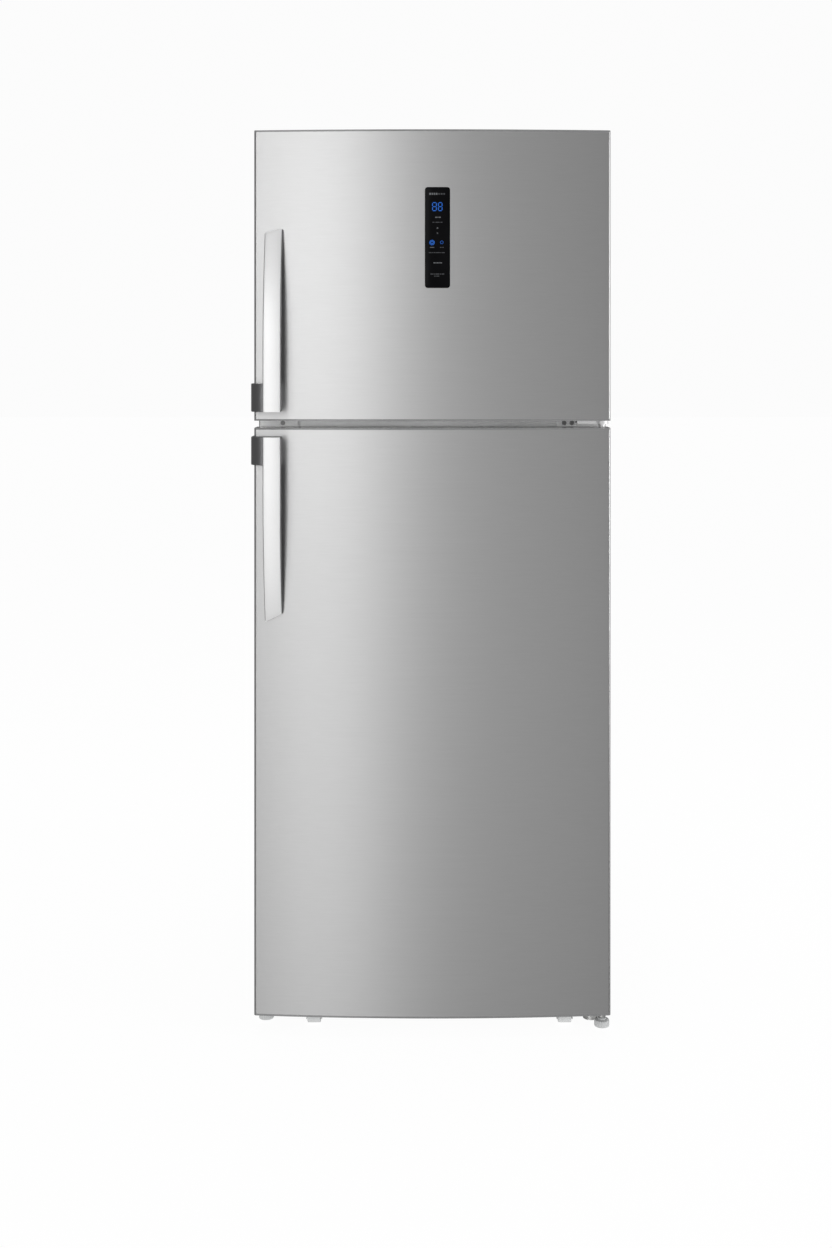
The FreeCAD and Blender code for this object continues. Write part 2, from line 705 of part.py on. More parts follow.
keep("base_brackets", group(
    "base_brackets", carrier.body, left_bracket, glide,
    fork("fork_front_left", d.left_roller_x, *front),
    fork("fork_front_right", d.right_roller_x, *front),
    fork("fork_rear_left", -d.rear_roller_x, *rear),
    fork("fork_rear_right", d.rear_roller_x, *rear)))

# ---------------------------------------------------------------- freezer compartment

cover_back = d.cover_front + d.cover_wall
made = Body("evaporator_cover")
low, high = d.freezer_low + 1, d.freezer_high - 1
half = d.freezer_half - 1
profile = rounded(made.sketch("XZ", cover_back), (-half, low), (half, high), 14)
made.pad(profile, d.cover_wall)
grille = made.sketch("XZ", d.cover_front - 1)
grille_radius, louvre_pitch = 52, 11
for step in range(-4, 5):
    level = d.fan_z + step * louvre_pitch
    chord = math.sqrt(grille_radius ** 2 - (step * louvre_pitch) ** 2)
    rectangle(grille, (-chord, level - 3), (chord, level + 3))
for step in range(-8, 9):
    rectangle(grille, (step * 30 - 11, low + 10), (step * 30 + 11, low + 15))
made.pocket(grille, d.cover_wall + 2)
ribs = made.sketch("XZ", d.cover_front)
for step in (-2, -1, 1, 2):
    rectangle(ribs, (step * 100 - 2, low + 30), (step * 100 + 2, d.fan_z - 120))
made.pad(ribs, 2)
made.keep()

coil_low, coil_high = size(1262), size(1462)
coil_half, coil_pitch, coil_count, fin_count = size(258), 25, 8, 21
fin_front, fin_back = size(202), size(254)
columns = (fin_front + 12, fin_back - 12)
parts = []
for number in range(fin_count):
    x = coil_half * -1 + 8 + number * coil_pitch
    parts.append(box(f"fin_{number}", (x - 0.6, fin_front, coil_low), (x + 0.6, fin_back, coil_high)))
for number in range(coil_count):
    z = coil_low + 12 + number * coil_pitch
    for column, y in enumerate(columns):
        parts.append(cylinder(f"coil_{number}_{column}", (-coil_half, y, z), 4, coil_half * 2, "X"))
    parts.append(box(f"elbow_left_{number}", (-coil_half - 4, columns[0] - 3, z - 3),
                     (-coil_half + 2, columns[1] + 3, z + 3)))
    if number < coil_count - 1:
        parts.append(box(f"elbow_right_{number}", (coil_half - 2, columns[0] - 3, z - 3),
                         (coil_half + 4, columns[0] + 3, z + coil_pitch + 3)))
keep("evaporator", fuse("evaporator", *parts))

made = Body("fan_motor")
motor_front = size(224)
made.pad(circle(made.sketch("XZ", motor_front), 0, d.fan_z, 21), 30, reverse=True)
made.pad(circle(made.sketch("XZ", motor_front), 0, d.fan_z, 2.5), 20)
arms = made.sketch("XZ", motor_front + 20)
rectangle(arms, (-70, d.fan_z - 5), (70, d.fan_z + 5))
made.pad(arms, 4)
posts = made.sketch("XZ", motor_front + 20)
rectangle(posts, (-70, d.fan_z - 5), (-62, d.fan_z + 5))
rectangle(posts, (62, d.fan_z - 5), (70, d.fan_z + 5))
made.pad(posts, motor_front + 20 - cover_back)
made.keep()

made = Body("evaporator_fan")
made.pad(circle(made.sketch("XZ", 0), 0, 0, 15), 16, middle=True)
made.pocket(circle(made.sketch("XZ", -9), 0, 0, 2.55), 18)
hub = made.body
blades = [hub]
for number in range(5):
    blade = doc.addObject("Part::Box", f"blade_{number}")
    bind(blade, "Length", 1.6)
    bind(blade, "Width", 26)
    bind(blade, "Height", d.fan_radius - 18)
    turn = Rotation(Vector(0, 1, 0), number * 72)
    pitch = Rotation(Vector(0, 0, 1), 58)
    offset = turn.multVec(Vector(0, 0, 12) + pitch.multVec(Vector(-0.8, -13, 0)))
    blade.Placement = Placement(offset, turn.multiply(pitch))
    blades.append(blade)
fan = keep("evaporator_fan", fuse("fan_rotor", *blades))
bind(fan, ".Placement.Base.y", d.fan_y)
bind(fan, ".Placement.Base.z", d.fan_z)

shelf_level = freezer_shelf_low + 3
rods = []
rod_front, rod_length, rod_pitch, rod_count = size(-112), size(292), 22, 25
for number, y in enumerate((rod_front + 8, rod_front + 152, rod_front + 284)):
    rods.append(cylinder(f"cross_rod_{number}", (-d.freezer_half + 2, y, shelf_level), 3,
                         d.freezer_half * 2 - 4, "X"))
for number in range(rod_count):
    x = size((number - (rod_count - 1) / 2) * rod_pitch)
    rods.append(cylinder(f"rod_{number}", (x, rod_front, shelf_level + 3), 1.8, rod_length, "Y"))
keep("freezer_shelf", fuse("freezer_shelf", *rods))

# The twist tray turns about Y inside its frame, above the sliding ice box.
ice_left, ice_right = d.ice_x - d.ice_half, d.ice_x + d.ice_half
frame_top, frame_wall = d.freezer_high - 1, size(3)
made = Body("ice_tray_frame")
side = [
    (ice_left, d.ice_axis - 28), (ice_left + frame_wall, d.ice_axis - 28),
    (ice_left + frame_wall, frame_top - frame_wall), (ice_right - frame_wall, frame_top - frame_wall),
    (ice_right - frame_wall, d.ice_axis - 28), (ice_right, d.ice_axis - 28),
    (ice_right, frame_top), (ice_left, frame_top),
]
made.pad(outline(made.sketch("XZ", d.ice_front), side), d.ice_rear - d.ice_front, reverse=True)
for plane, flip in ((d.ice_front, True), (d.ice_rear, False)):
    profile = rectangle(
        made.sketch("XZ", plane), (ice_left, d.ice_axis - 14), (ice_right, frame_top))
    made.pad(profile, frame_wall, reverse=flip)
profile = circle(made.sketch("XZ", d.ice_front - 1), d.ice_x, d.ice_axis, 4.1)
made.pocket(profile, d.ice_rear - d.ice_front + 2)
made.keep()

made = Body("ice_tray")
tray_front, tray_rear = d.ice_front + 6, d.ice_rear - 6
profile = rectangle(made.sketch("XY", 10), (-d.tray_half, tray_front), (d.tray_half, tray_rear))
made.pad(profile, 28, reverse=True)
cells = made.sketch("XY", 10)
pitch = (tray_rear - tray_front - 4) / 7
for row in range(7):
    near = tray_front + 4 + pitch * row
    for low, high in ((-d.tray_half + 3, -1.5), (1.5, d.tray_half - 3)):
        rectangle(cells, (low, near), (high, near + pitch - 4))
made.pocket(cells, 24)
pin = circle(made.sketch("XZ", d.ice_front - 5), 0, 0, 4)
made.pad(pin, 12, reverse=True)
pin = circle(made.sketch("XZ", tray_rear), 0, 0, 4)
made.pad(pin, d.ice_rear - tray_rear + 2, reverse=True)
made.pad(circle(made.sketch("XZ", d.ice_front - 3), 0, 0, 13), 9)
grip = rectangle(made.sketch("XZ", d.ice_front - 12), (-11, -2.5), (11, 2.5))
made.pad(grip, 7)
made.keep()
bind(made.body, ".Placement.Base.x", d.ice_x)
bind(made.body, ".Placement.Base.z", d.ice_axis)

shelf_top = shelf_level + 4.8
made = tub("ice_box", (ice_left + 6, ice_right - 6), (d.ice_front + 4, d.ice_rear - 16),
           (shelf_top + 0.6, 1568), 2.5, 10)
lip = rectangle(
    made.sketch("XY", 1560), (ice_left + 40, d.ice_front - 8), (ice_right - 40, d.ice_front + 5))
made.pad(lip, 8)
made.keep()

# ---------------------------------------------------------------- fridge compartment

panes, trims = [], []
for number, top in enumerate(shelf_tops):
    panes.append(box(f"pane_{number}", (-d.shelf_half, pane_front, top - d.glass),
                     (d.shelf_half, pane_back, top)))
    body = Body(f"front_trim_{number}")
    low, high = top - d.glass - 6, top + 3
    if number == 0:
        low = top - d.glass - 13
    nose = [
        (pane_front, low), (pane_front, high), (d.shelf_front + 4, high), (d.shelf_front, high - 4),
        (d.shelf_front, low + 3), (d.shelf_front + 3, low),
    ]
    arcs = {2: (d.shelf_front + 4, high - 4)}
    body.pad(outline(body.sketch("YZ"), nose, arcs), d.shelf_half * 2, middle=True)
    if number == 0:
        slot = rectangle(body.sketch("XZ", d.shelf_front - 1), (-45, low + 4), (45, low + 9))
        body.pocket(slot, d.trim_depth + 2)
    trims.append(body.body)
    rear = box(f"rear_trim_{number}", (-d.shelf_half, pane_back, top - d.glass - 3),
               (d.shelf_half, d.shelf_back, top + 9))
    trims.append(rear)
keep("glass_shelves", group("glass_shelves", *panes))
keep("shelf_trims", group("shelf_trims", *trims))

slot_low = d.crisper_shelf - d.glass - 9
head_back = d.shelf_front - 0.4
keep("humidity_slider", fuse(
    "humidity_slider",
    box("slider_head", (-12, head_back - 4, slot_low - 2.5), (12, head_back, slot_low + 7.5)),
    box("slider_neck", (-5, head_back, slot_low + 0.4), (5, pane_front - 2, slot_low + 4.6))))

drawer_front = d.shelf_front + 6
for label, left, right in (
        ("crisper_drawer_left", -d.drawer_half, size(-2)),
        ("crisper_drawer_right", size(2), d.drawer_half)):
    made = tub(
        label, (left, right), (drawer_front, d.drawer_back), (d.drawer_low, d.drawer_high),
        d.drawer_wall, 12)
    handle = rounded(
        made.sketch("XY", d.drawer_high - 16),
        (left + 70, d.shelf_front), (right - 70, drawer_front + 2), 3)
    made.pad(handle, 16)
    runners = made.sketch("XY", d.drawer_low)
    for x in (left + 30, right - 34):
        rectangle(runners, (x, drawer_front + 14), (x + 4, d.drawer_back - 14))
    made.pad(runners, d.drawer_low - d.fridge_low - 0.5, reverse=True)
    made.keep()

made = Body("air_duct")
duct_front = d.shelf_back + 0.5
duct_low, duct_high = d.hump_high + 60, d.fridge_high - 8
profile = rounded(made.sketch("XZ", d.fridge_back), (-92, duct_low), (92, duct_high), 14)
made.pad(profile, d.fridge_back - duct_front)
hollow = rounded(made.sketch("XZ", d.fridge_back + 1), (-89, duct_low + 3), (89, duct_high - 3), 11)
made.pocket(hollow, d.fridge_back - duct_front - 2, reverse=True)
outlets = made.sketch("XZ", duct_front - 1)
for top in shelf_tops[:-1]:
    for x in (-60, 20):
        for step in range(3):
            level = top + 110 + step * 14
            rectangle(outlets, (x, level), (x + 40, level + 7))
made.pocket(outlets, 6)
knob_z = duct_high - 58
made.pocket(circle(made.sketch("XZ", duct_front - 1), 0, knob_z, 4.1), 6)
made.keep()

made = Body("temperature_knob")
made.pad(circle(made.sketch("XZ", 0), 0, 0, 19), 7)
made.soften(lambda e: e.BoundBox.YMax < -6 and e.BoundBox.XLength > 30, 1.5)
made.pad(rounded(made.sketch("XZ", -7), (-3.5, -17), (3.5, 17), 3), 7)
made.pad(circle(made.sketch("XZ", 0), 0, 0, 4), 8, reverse=True)
made.keep()
bind(made.body, ".Placement.Base.y", duct_front - 0.4)
bind(made.body, ".Placement.Base.z", knob_z)

made = Body("lamp")
made.pad(rounded(made.sketch("XY", d.fridge_high), (-72, -84), (72, -24), 9), 9, reverse=True)
made.soften(lambda e: e.BoundBox.ZMax < d.fridge_high.value - 8.9, 3)
made.keep()

# ---------------------------------------------------------------- rear: cooling circuit

made = Body("compressor")
can, waist = d.compressor_radius, d.compressor_radius - 4
shape = [
    (0, 8), (waist - 10, 8), (waist, 20), (waist, 66), (can, 66), (can, 72), (waist, 72), (waist, 108),
    (waist - 34, 142), (0, 142),
]
made.revolve(outline(made.sketch("XZ"), shape, {7: (waist - 34, 108)}), "V_Axis")
feet = rounded(made.sketch("XY", 5), (-74, -46), (74, 46), 14)
made.pad(feet, 4)
grommets = made.sketch("XY", 0)
for x in (-60, 60):
    for y in (-32, 32):
        circle(grommets, x, y, 9)
made.pad(grommets, 6)
terminals = rounded(made.sketch("YZ", -waist - 22), (-22, 36), (22, 92), 5)
made.pad(terminals, 40)
stubs = made.sketch("XY", 60)
circle(stubs, waist + 2, 20, 4)
made.pad(stubs, 78)
made.keep()
bind(made.body, ".Placement.Base.x", d.compressor_x)
bind(made.body, ".Placement.Base.y", d.compressor_y)
bind(made.body, ".Placement.Base.z", d.compressor_base)

made = tub("drain_pan", (-270, -30), (214, 316), (d.compressor_base, 96), 2.5, 14)
made.keep()

inlet_x = size(-308)
made = Body("power_inlet")
made.pad(rounded(made.sketch("XY", d.compressor_base), (-332, 284), (-284, 320), 4), 60)
gland = circle(made.sketch("XZ", 320), inlet_x, d.compressor_base + 34, 10)
made.pad(gland, 14, reverse=True)
made.pocket(circle(made.sketch("XZ", 335), inlet_x, d.compressor_base + 34, 4), 12, reverse=True)
made.keep()

# The condenser's tube runs to and fro up the rear, with upright wires on its outer side.
tube = Body("condenser_tube")
bend = d.pass_step / 2
run = d.pass_half - bend
points = [(-d.pass_half, 150), (-d.pass_half, d.pass_low - bend), (-run, d.pass_low)]
arcs = {1: (-run, d.pass_low - bend)}
for number in range(DIMENSIONS["passes"]):
    side = 1 if number % 2 == 0 else -1
    level = d.pass_low + d.pass_step * number
    points.append((run * side, level))
    if number < DIMENSIONS["passes"] - 1:
        centre = (run * side, level + bend)
        for after in ((d.pass_half * side, level + bend), (run * side, level + d.pass_step)):
            arcs[len(points) - 1] = centre
            points.append(after)
path = outline(tube.sketch("XZ", d.condenser_y), points, arcs, closed=False)
ring = circle(tube.sketch("XY", 150), -d.pass_half, d.condenser_y, d.tube_radius)
pipe = tube.body.newObject("PartDesign::AdditivePipe", "condenser_pipe")
pipe.Profile = ring
pipe.Spine = path
doc.recompute()
wires = []
wire_y = d.condenser_y + d.tube_radius + 1.4
wire_count, wire_pitch, wire_low, wire_length = 17, 31.25, size(292), size(1216)
for number in range(wire_count):
    x = size((number - (wire_count - 1) / 2) * wire_pitch)
    wires.append(cylinder(f"wire_{number}", (x, wire_y, wire_low), 1.2, wire_length))
standoffs = []
for name, x in (("left", size(-228)), ("right", size(238))):
    for level in (300, 1500):
        standoffs.append(box(f"standoff_{name}_{level}", (x - 5, d.cabinet_back, level - 5),
                             (x + 5, d.condenser_y + 8, level + 5)))
keep("condenser", group("condenser", tube.body, *wires, *standoffs))

# ---------------------------------------------------------------- doors


def door_outline(sketch, inset, back):
    """The bowed door seen from above, with its round front corners."""
    side, front = door_half - inset, d.door_front + inset
    points = [
        (-side, back), (-side, corner_turn), (-bow_end, front), (bow_end, front),
        (side, corner_turn), (side, back),
    ]
    centres = {1: (-bow_end, corner_turn), 2: (0, bow_centre), 3: (bow_end, corner_turn)}
    return outline(sketch, points, centres)


def skin_outline(sketch, hem):
    """The folded door sheet seen from above: bowed front, sides and hems along the rear."""
    inner = door_half - d.skin
    front, back = d.door_front + d.skin, door_back - d.skin
    points = [
        (-hem, door_back), (-door_half, door_back), (-door_half, corner_turn),
        (-bow_end, d.door_front), (bow_end, d.door_front), (door_half, corner_turn),
        (door_half, door_back), (hem, door_back), (hem, back), (inner, back), (inner, corner_turn),
        (bow_end, front), (-bow_end, front), (-inner, corner_turn), (-inner, back), (-hem, back),
    ]
    left, right, bow = (-bow_end, corner_turn), (bow_end, corner_turn), (0, bow_centre)
    return outline(sketch, points, {2: left, 3: bow, 4: right, 10: right, 11: bow, 12: left})


def end_cap(name, face, up, depth, back, recess=False):
    """The plastic cap that closes one end of a door and carries a hinge bore."""
    made = Body(name)
    lip_plane, inner_plane = face - d.cap_lip * up, face - depth * up
    rising = up > 0
    made.pad(door_outline(made.sketch("XY", lip_plane), 0, door_back), d.cap_lip, reverse=not rising)
    plug = door_outline(made.sketch("XY", lip_plane), d.skin + clear, back)
    made.pad(plug, depth - d.cap_lip, reverse=rising)
    wall = d.skin + clear + 2.5
    hollow_depth = depth - d.recess_depth - 3 if recess else depth - d.cap_lip - 1
    hollow = rectangle(
        made.sketch("XY", inner_plane),
        (-door_half + wall, d.door_front + wall), (door_half - wall, back - 2.5))
    made.pocket(hollow, hollow_depth, reverse=rising)
    boss = circle(made.sketch("XY", inner_plane), d.hinge_x, d.hinge_y, 9)
    made.pad(boss, hollow_depth, reverse=not rising)
    if recess:
        notch_low = (d.hinge_x - d.arm_half - 3, d.recess_front)
        notch = rectangle(made.sketch("XY", face + 1), notch_low, (door_half + 1, door_back + 1))
        made.pocket(notch, d.recess_depth + 1)
    bore_start = d.recess_depth if recess else 0
    bore = circle(
        made.sketch("XY", face - bore_start * up), d.hinge_x, d.hinge_y, d.pin_radius + d.pin_clearance)
    made.pocket(bore, d.pin_reach + 0.5, reverse=not rising)
    return made.body


def ring(sketch, low, high, outer, width):
    """A rectangular ring on a front view."""
    rectangle(sketch, (-outer, low), (outer, high))
    return rectangle(sketch, (-outer + width, low + width), (outer - width, high - width))


def door(name, low, high, top_depth, opening, dyke_outer, dyke_depth, gasket):
    """Skin, end caps, liner, insulation and gasket of one door."""
    recess = name == "freezer"
    plug_back = door_back - d.liner_wall - clear
    top_back = door_back - d.skin - clear if recess else plug_back
    top = end_cap(f"{name}_top_cap", high, 1, top_depth, top_back, recess)
    bottom = end_cap(f"{name}_bottom_cap", low, -1, d.cap_depth, plug_back)
    keep(f"{name}_door_end_caps", group(f"{name}_door_end_caps", top, bottom))

    hem = size(332)
    skin = Body(f"{name}_door_skin")
    length = high - low - d.cap_lip * 2
    skin.pad(skin_outline(skin.sketch("XY", low + d.cap_lip), hem), length)
    if recess:
        corner = (d.hinge_x - d.arm_half - 3, d.recess_front)
        notch = rectangle(skin.sketch("XY", high), corner, (door_half + 1, door_back + 1))
        skin.pocket(notch, d.recess_depth)
        window = display_window(skin.sketch("XZ", d.display_front - 5), 0.2)
        skin.pocket(window, 20)
    skin.keep()

    liner_low = low + d.cap_lip + clear
    liner_high = high - top_depth - 0.3 if recess else high - d.cap_lip - clear
    dyke_low, dyke_high = opening[0] + 8, opening[1] - 8
    dyke_inner = dyke_outer - d.dyke_width
    crest = door_back + dyke_depth
    wall = d.liner_wall
    liner = Body(f"{name}_door_liner")
    behind = door_back - wall
    edge = hem - 0.5
    flange = rectangle(liner.sketch("XZ", behind), (-edge, liner_low), (edge, liner_high))
    liner.pad(flange, wall, reverse=True)
    block = rounded(liner.sketch("XZ", behind), (-dyke_outer, dyke_low), (dyke_outer, dyke_high), 16)
    liner.pad(block, dyke_depth + wall, reverse=True)
    floor_low, floor_high = dyke_low + d.dyke_width, dyke_high - d.dyke_width
    floor = rounded(liner.sketch("XZ", crest), (-dyke_inner, floor_low), (dyke_inner, floor_high), 12)
    liner.pocket(floor, dyke_depth - wall, reverse=True)
    liner.soften(lambda e: e.BoundBox.YMin > crest.value - 0.1 and e.BoundBox.YLength < 0.1, 5)
    hollow = liner.sketch("XZ", behind)
    rounded(hollow, (-dyke_outer + wall, dyke_low + wall), (dyke_outer - wall, dyke_high - wall), 14)
    rounded(hollow, (-dyke_inner - wall, floor_low - wall), (dyke_inner + wall, floor_high + wall), 14)
    liner.pocket(hollow, dyke_depth - 4)
    liner.keep()

    foam = Body(f"{name}_door_foam")
    start, end = low + d.cap_depth + 0.3, high - top_depth - 0.6
    foam.pad(door_outline(foam.sketch("XY", start), d.skin + clear, behind - clear), end - start)
    fill = foam.sketch("XZ", behind - 1)
    inset = wall + 0.3
    rounded(fill, (-dyke_outer + inset, dyke_low + inset), (dyke_outer - inset, dyke_high - inset), 13)
    rounded(fill, (-dyke_inner - inset, floor_low - inset), (dyke_inner + inset, floor_high + inset), 15)
    foam.pad(fill, dyke_depth - 4, reverse=True)
    if recess:
        window = display_window(foam.sketch("XZ", d.display_front - 5), 0.6)
        foam.pocket(window, d.display_glass + d.board_depth + 6)
    foam.keep()

    seal = Body(f"{name}_door_gasket")
    reach = d.gasket_thickness - d.gasket_gap
    base, neck = size(4), size(3)
    wide, narrow = d.gasket_width, 5
    g_low, g_high = gasket
    outer = d.gasket_outer
    seal.pad(ring(seal.sketch("XZ", door_back), g_low, g_high, outer, wide), base, reverse=True)
    seal.pad(
        ring(seal.sketch("XZ", door_back + base), g_low + narrow, g_high - narrow, outer - narrow,
             wide - narrow * 2), neck, reverse=True)
    seal.pad(
        ring(seal.sketch("XZ", door_back + base + neck), g_low + 1.5, g_high - 1.5, outer - 1.5,
             wide - 3), reach - base - neck, reverse=True)
    seal.keep()


def display_window(sketch, grow):
    half = d.display_width / 2 + grow
    low, high = d.display_low - grow, d.display_high + grow
    return rounded(sketch, (d.display_x - half, low), (d.display_x + half, high), d.display_corner)


door("freezer", d.freezer_door_low, d.freezer_door_high, d.top_cap_depth,
     (d.freezer_low, d.freezer_high), d.freezer_dyke_outer, d.freezer_dyke_depth,
     (d.freezer_gasket_low, d.freezer_gasket_high))
door("fridge", d.fridge_door_low, d.fridge_door_high, d.cap_depth,
     (d.fridge_low, d.fridge_high), d.fridge_dyke_outer, d.fridge_dyke_depth,
     (d.fridge_gasket_low, d.fridge_gasket_high))

made = Body("display_panel")
made.pad(display_window(made.sketch("XZ", d.display_front), 0), d.display_glass, reverse=True)
board = rectangle(
    made.sketch("XZ", d.display_front + d.display_glass),
    (d.display_x - 22, d.display_low + 4), (d.display_x + 22, d.display_high - 4))
made.pad(board, d.board_depth, reverse=True)
made.keep()

# ---------------------------------------------------------------- handles


def bowed_bar(name, start, way, left, right, front, thick, trim):
    """A straight bar that then bows down towards the door and ends at a slant."""
    straight, length = d.grip_straight, d.grip_length
    drop = d.grip_seat - d.grip_front
    over = length - straight
    radius = (over * over + drop * drop) / (drop * 2)
    centre = (d.grip_front + radius, start + straight * way)
    outer, inner = centre[0] - front, centre[0] - front - thick
    far = start + length * way
    profile = [
        (front, start), (front, start + straight * way),
        (centre[0] - root(outer * outer - over * over), far),
        (centre[0] - root(inner * inner - over * over), far),
        (front + thick, start + straight * way), (front + thick, start),
    ]
    made = Body(name)
    made.pad(outline(made.sketch("YZ", left), profile, {1: centre, 3: centre}), right - left)
    rise = (trim[1] - trim[0]) / d.grip_width
    ends = [(x, start + (trim[0] + rise * (x - d.grip_left)) * way) for x in (left - 2, right + 2)]
    ends += [(right + 2, far + 9 * way), (left - 2, far + 9 * way)]
    made.pocket(outline(made.sketch("XZ", d.grip_front - 5), ends), 80)
    return made


def handle(name, start, way, trim):
    """The bright face, the dark core behind it and the bracket round the door's edge."""
    face, grip_right = size(3), d.grip_left + d.grip_width
    core_left, core_right = d.grip_left - 1, grip_right + d.core_edge
    bar = bowed_bar(f"{name}_handle_face", start, way, d.grip_left, grip_right, d.grip_front, face, trim)
    bar.keep()
    front = d.grip_front + face + 0.1
    core = bowed_bar(
        f"{name}_handle_core", start, way, core_left, core_right, front, d.grip_thick - face - 0.2, trim)
    far = start + d.grip_length * way
    below = min(start.value, far.value) - 1
    door_shape = door_outline(core.sketch("XY", below), -0.15, door_back)
    core.pocket(door_shape, d.grip_length + 2, reverse=True)
    core.keep()

    made = Body(f"{name}_handle_bracket")
    rear, side = d.grip_front + d.grip_thick, d.bracket_side
    base = start if way > 0 else start - d.bracket_height
    turn = size(29)
    tip = d.grip_left + 30
    profile = [
        (side, d.bracket_rear), (side, rear + turn), (side + turn, rear), (tip, rear),
        (tip, d.bracket_rear), (-door_half - 0.2, d.bracket_rear),
    ]
    plan = outline(made.sketch("XY", base), profile, {1: (side + turn, rear + turn)})
    made.pad(plan, d.bracket_height)
    cutter = door_outline(made.sketch("XY", base - 1), -0.2, door_back)
    made.pocket(cutter, d.bracket_height + 2, reverse=True)
    made.keep()


handle("freezer", d.freezer_grip_root, 1, (size(349.5), size(357.5)))
handle("fridge", d.fridge_grip_root, -1, (size(363), size(347)))

# ---------------------------------------------------------------- door bins and dairy cover

panel = door_back + d.liner_wall + 0.3


def rack(name, low, high, depth, half):
    """A door bin with a rolled rim."""
    return tub(name, (-half, half), (panel, panel + depth), (low, high), d.bin_wall, 12)


bin_half = d.freezer_dyke_outer - d.dyke_width - 1
rack("freezer_door_bin", size(1290), size(1372), 80, bin_half).keep()
bin_half = d.fridge_dyke_outer - d.dyke_width - 1
racks = [
    rack("bottle_rack", size(150), size(270), d.bin_depth, bin_half).body,
    rack("low_rack", size(440), size(530), d.bin_depth, bin_half).body,
    rack("high_rack", size(690), size(780), d.bin_depth - 10, bin_half).body,
    rack("dairy_rack", size(950), size(1024), 82, bin_half).body,
]
keep("fridge_door_bins", group("fridge_door_bins", *racks))

flap_y, flap_z = panel + 14, size(1034)
made = Body("dairy_cover")
reach, drop, skin_wall = size(74), size(44), size(2.5)
side = [
    (-3, 0), (reach - 8, 0), (reach, -8), (reach, -drop), (reach - skin_wall, -drop),
    (reach - skin_wall, -8), (reach - 8, -skin_wall), (-3, -skin_wall),
]
corner = (reach - 8, size(-8))
profile = outline(made.sketch("YZ"), side, {1: corner, 5: corner})
made.pad(profile, (bin_half - 6) * 2, middle=True)
made.pad(circle(made.sketch("YZ"), 0, -skin_wall / 2, 3), (bin_half - 1) * 2, middle=True)
made.keep()
bind(made.body, ".Placement.Base.y", flap_y)
bind(made.body, ".Placement.Base.z", flap_z)

# ---------------------------------------------------------------- checks and export

doc.recompute()
problems = []
for thing in doc.Objects:
    if "Invalid" in thing.State or "Error" in thing.State:
        problems.append(f"{thing.Name}: {thing.State}")
for label, thing in finished.items():
    if thing.Shape.isNull() or not thing.Shape.isValid():
        problems.append(f"{label}: no valid solid")
if problems:
    raise RuntimeError("; ".join(problems))

os.makedirs("parts", exist_ok=True)
for label, thing in finished.items():
    thing.Shape.exportStep(f"parts/{label}.step")
print(f"{len(finished)} sub-parts written")
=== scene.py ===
import math

import bmesh
import bpy
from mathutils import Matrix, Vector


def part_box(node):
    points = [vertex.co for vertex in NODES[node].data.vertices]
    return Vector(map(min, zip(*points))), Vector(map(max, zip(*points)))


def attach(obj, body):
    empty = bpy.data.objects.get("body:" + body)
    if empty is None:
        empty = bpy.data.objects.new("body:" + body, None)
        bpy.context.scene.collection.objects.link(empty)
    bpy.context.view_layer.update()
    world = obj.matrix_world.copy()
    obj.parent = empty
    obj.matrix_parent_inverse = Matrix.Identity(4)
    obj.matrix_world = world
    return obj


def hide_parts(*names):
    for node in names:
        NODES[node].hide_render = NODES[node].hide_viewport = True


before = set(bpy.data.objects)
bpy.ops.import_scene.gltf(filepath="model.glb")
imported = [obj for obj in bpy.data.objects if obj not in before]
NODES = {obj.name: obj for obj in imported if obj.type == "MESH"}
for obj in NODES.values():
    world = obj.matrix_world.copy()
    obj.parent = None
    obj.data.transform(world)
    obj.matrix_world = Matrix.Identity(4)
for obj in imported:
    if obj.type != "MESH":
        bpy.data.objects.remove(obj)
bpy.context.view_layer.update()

# ---------------------------------------------------------------- materials
# Every material works in the object's own coordinates, which are the row frame in metres.


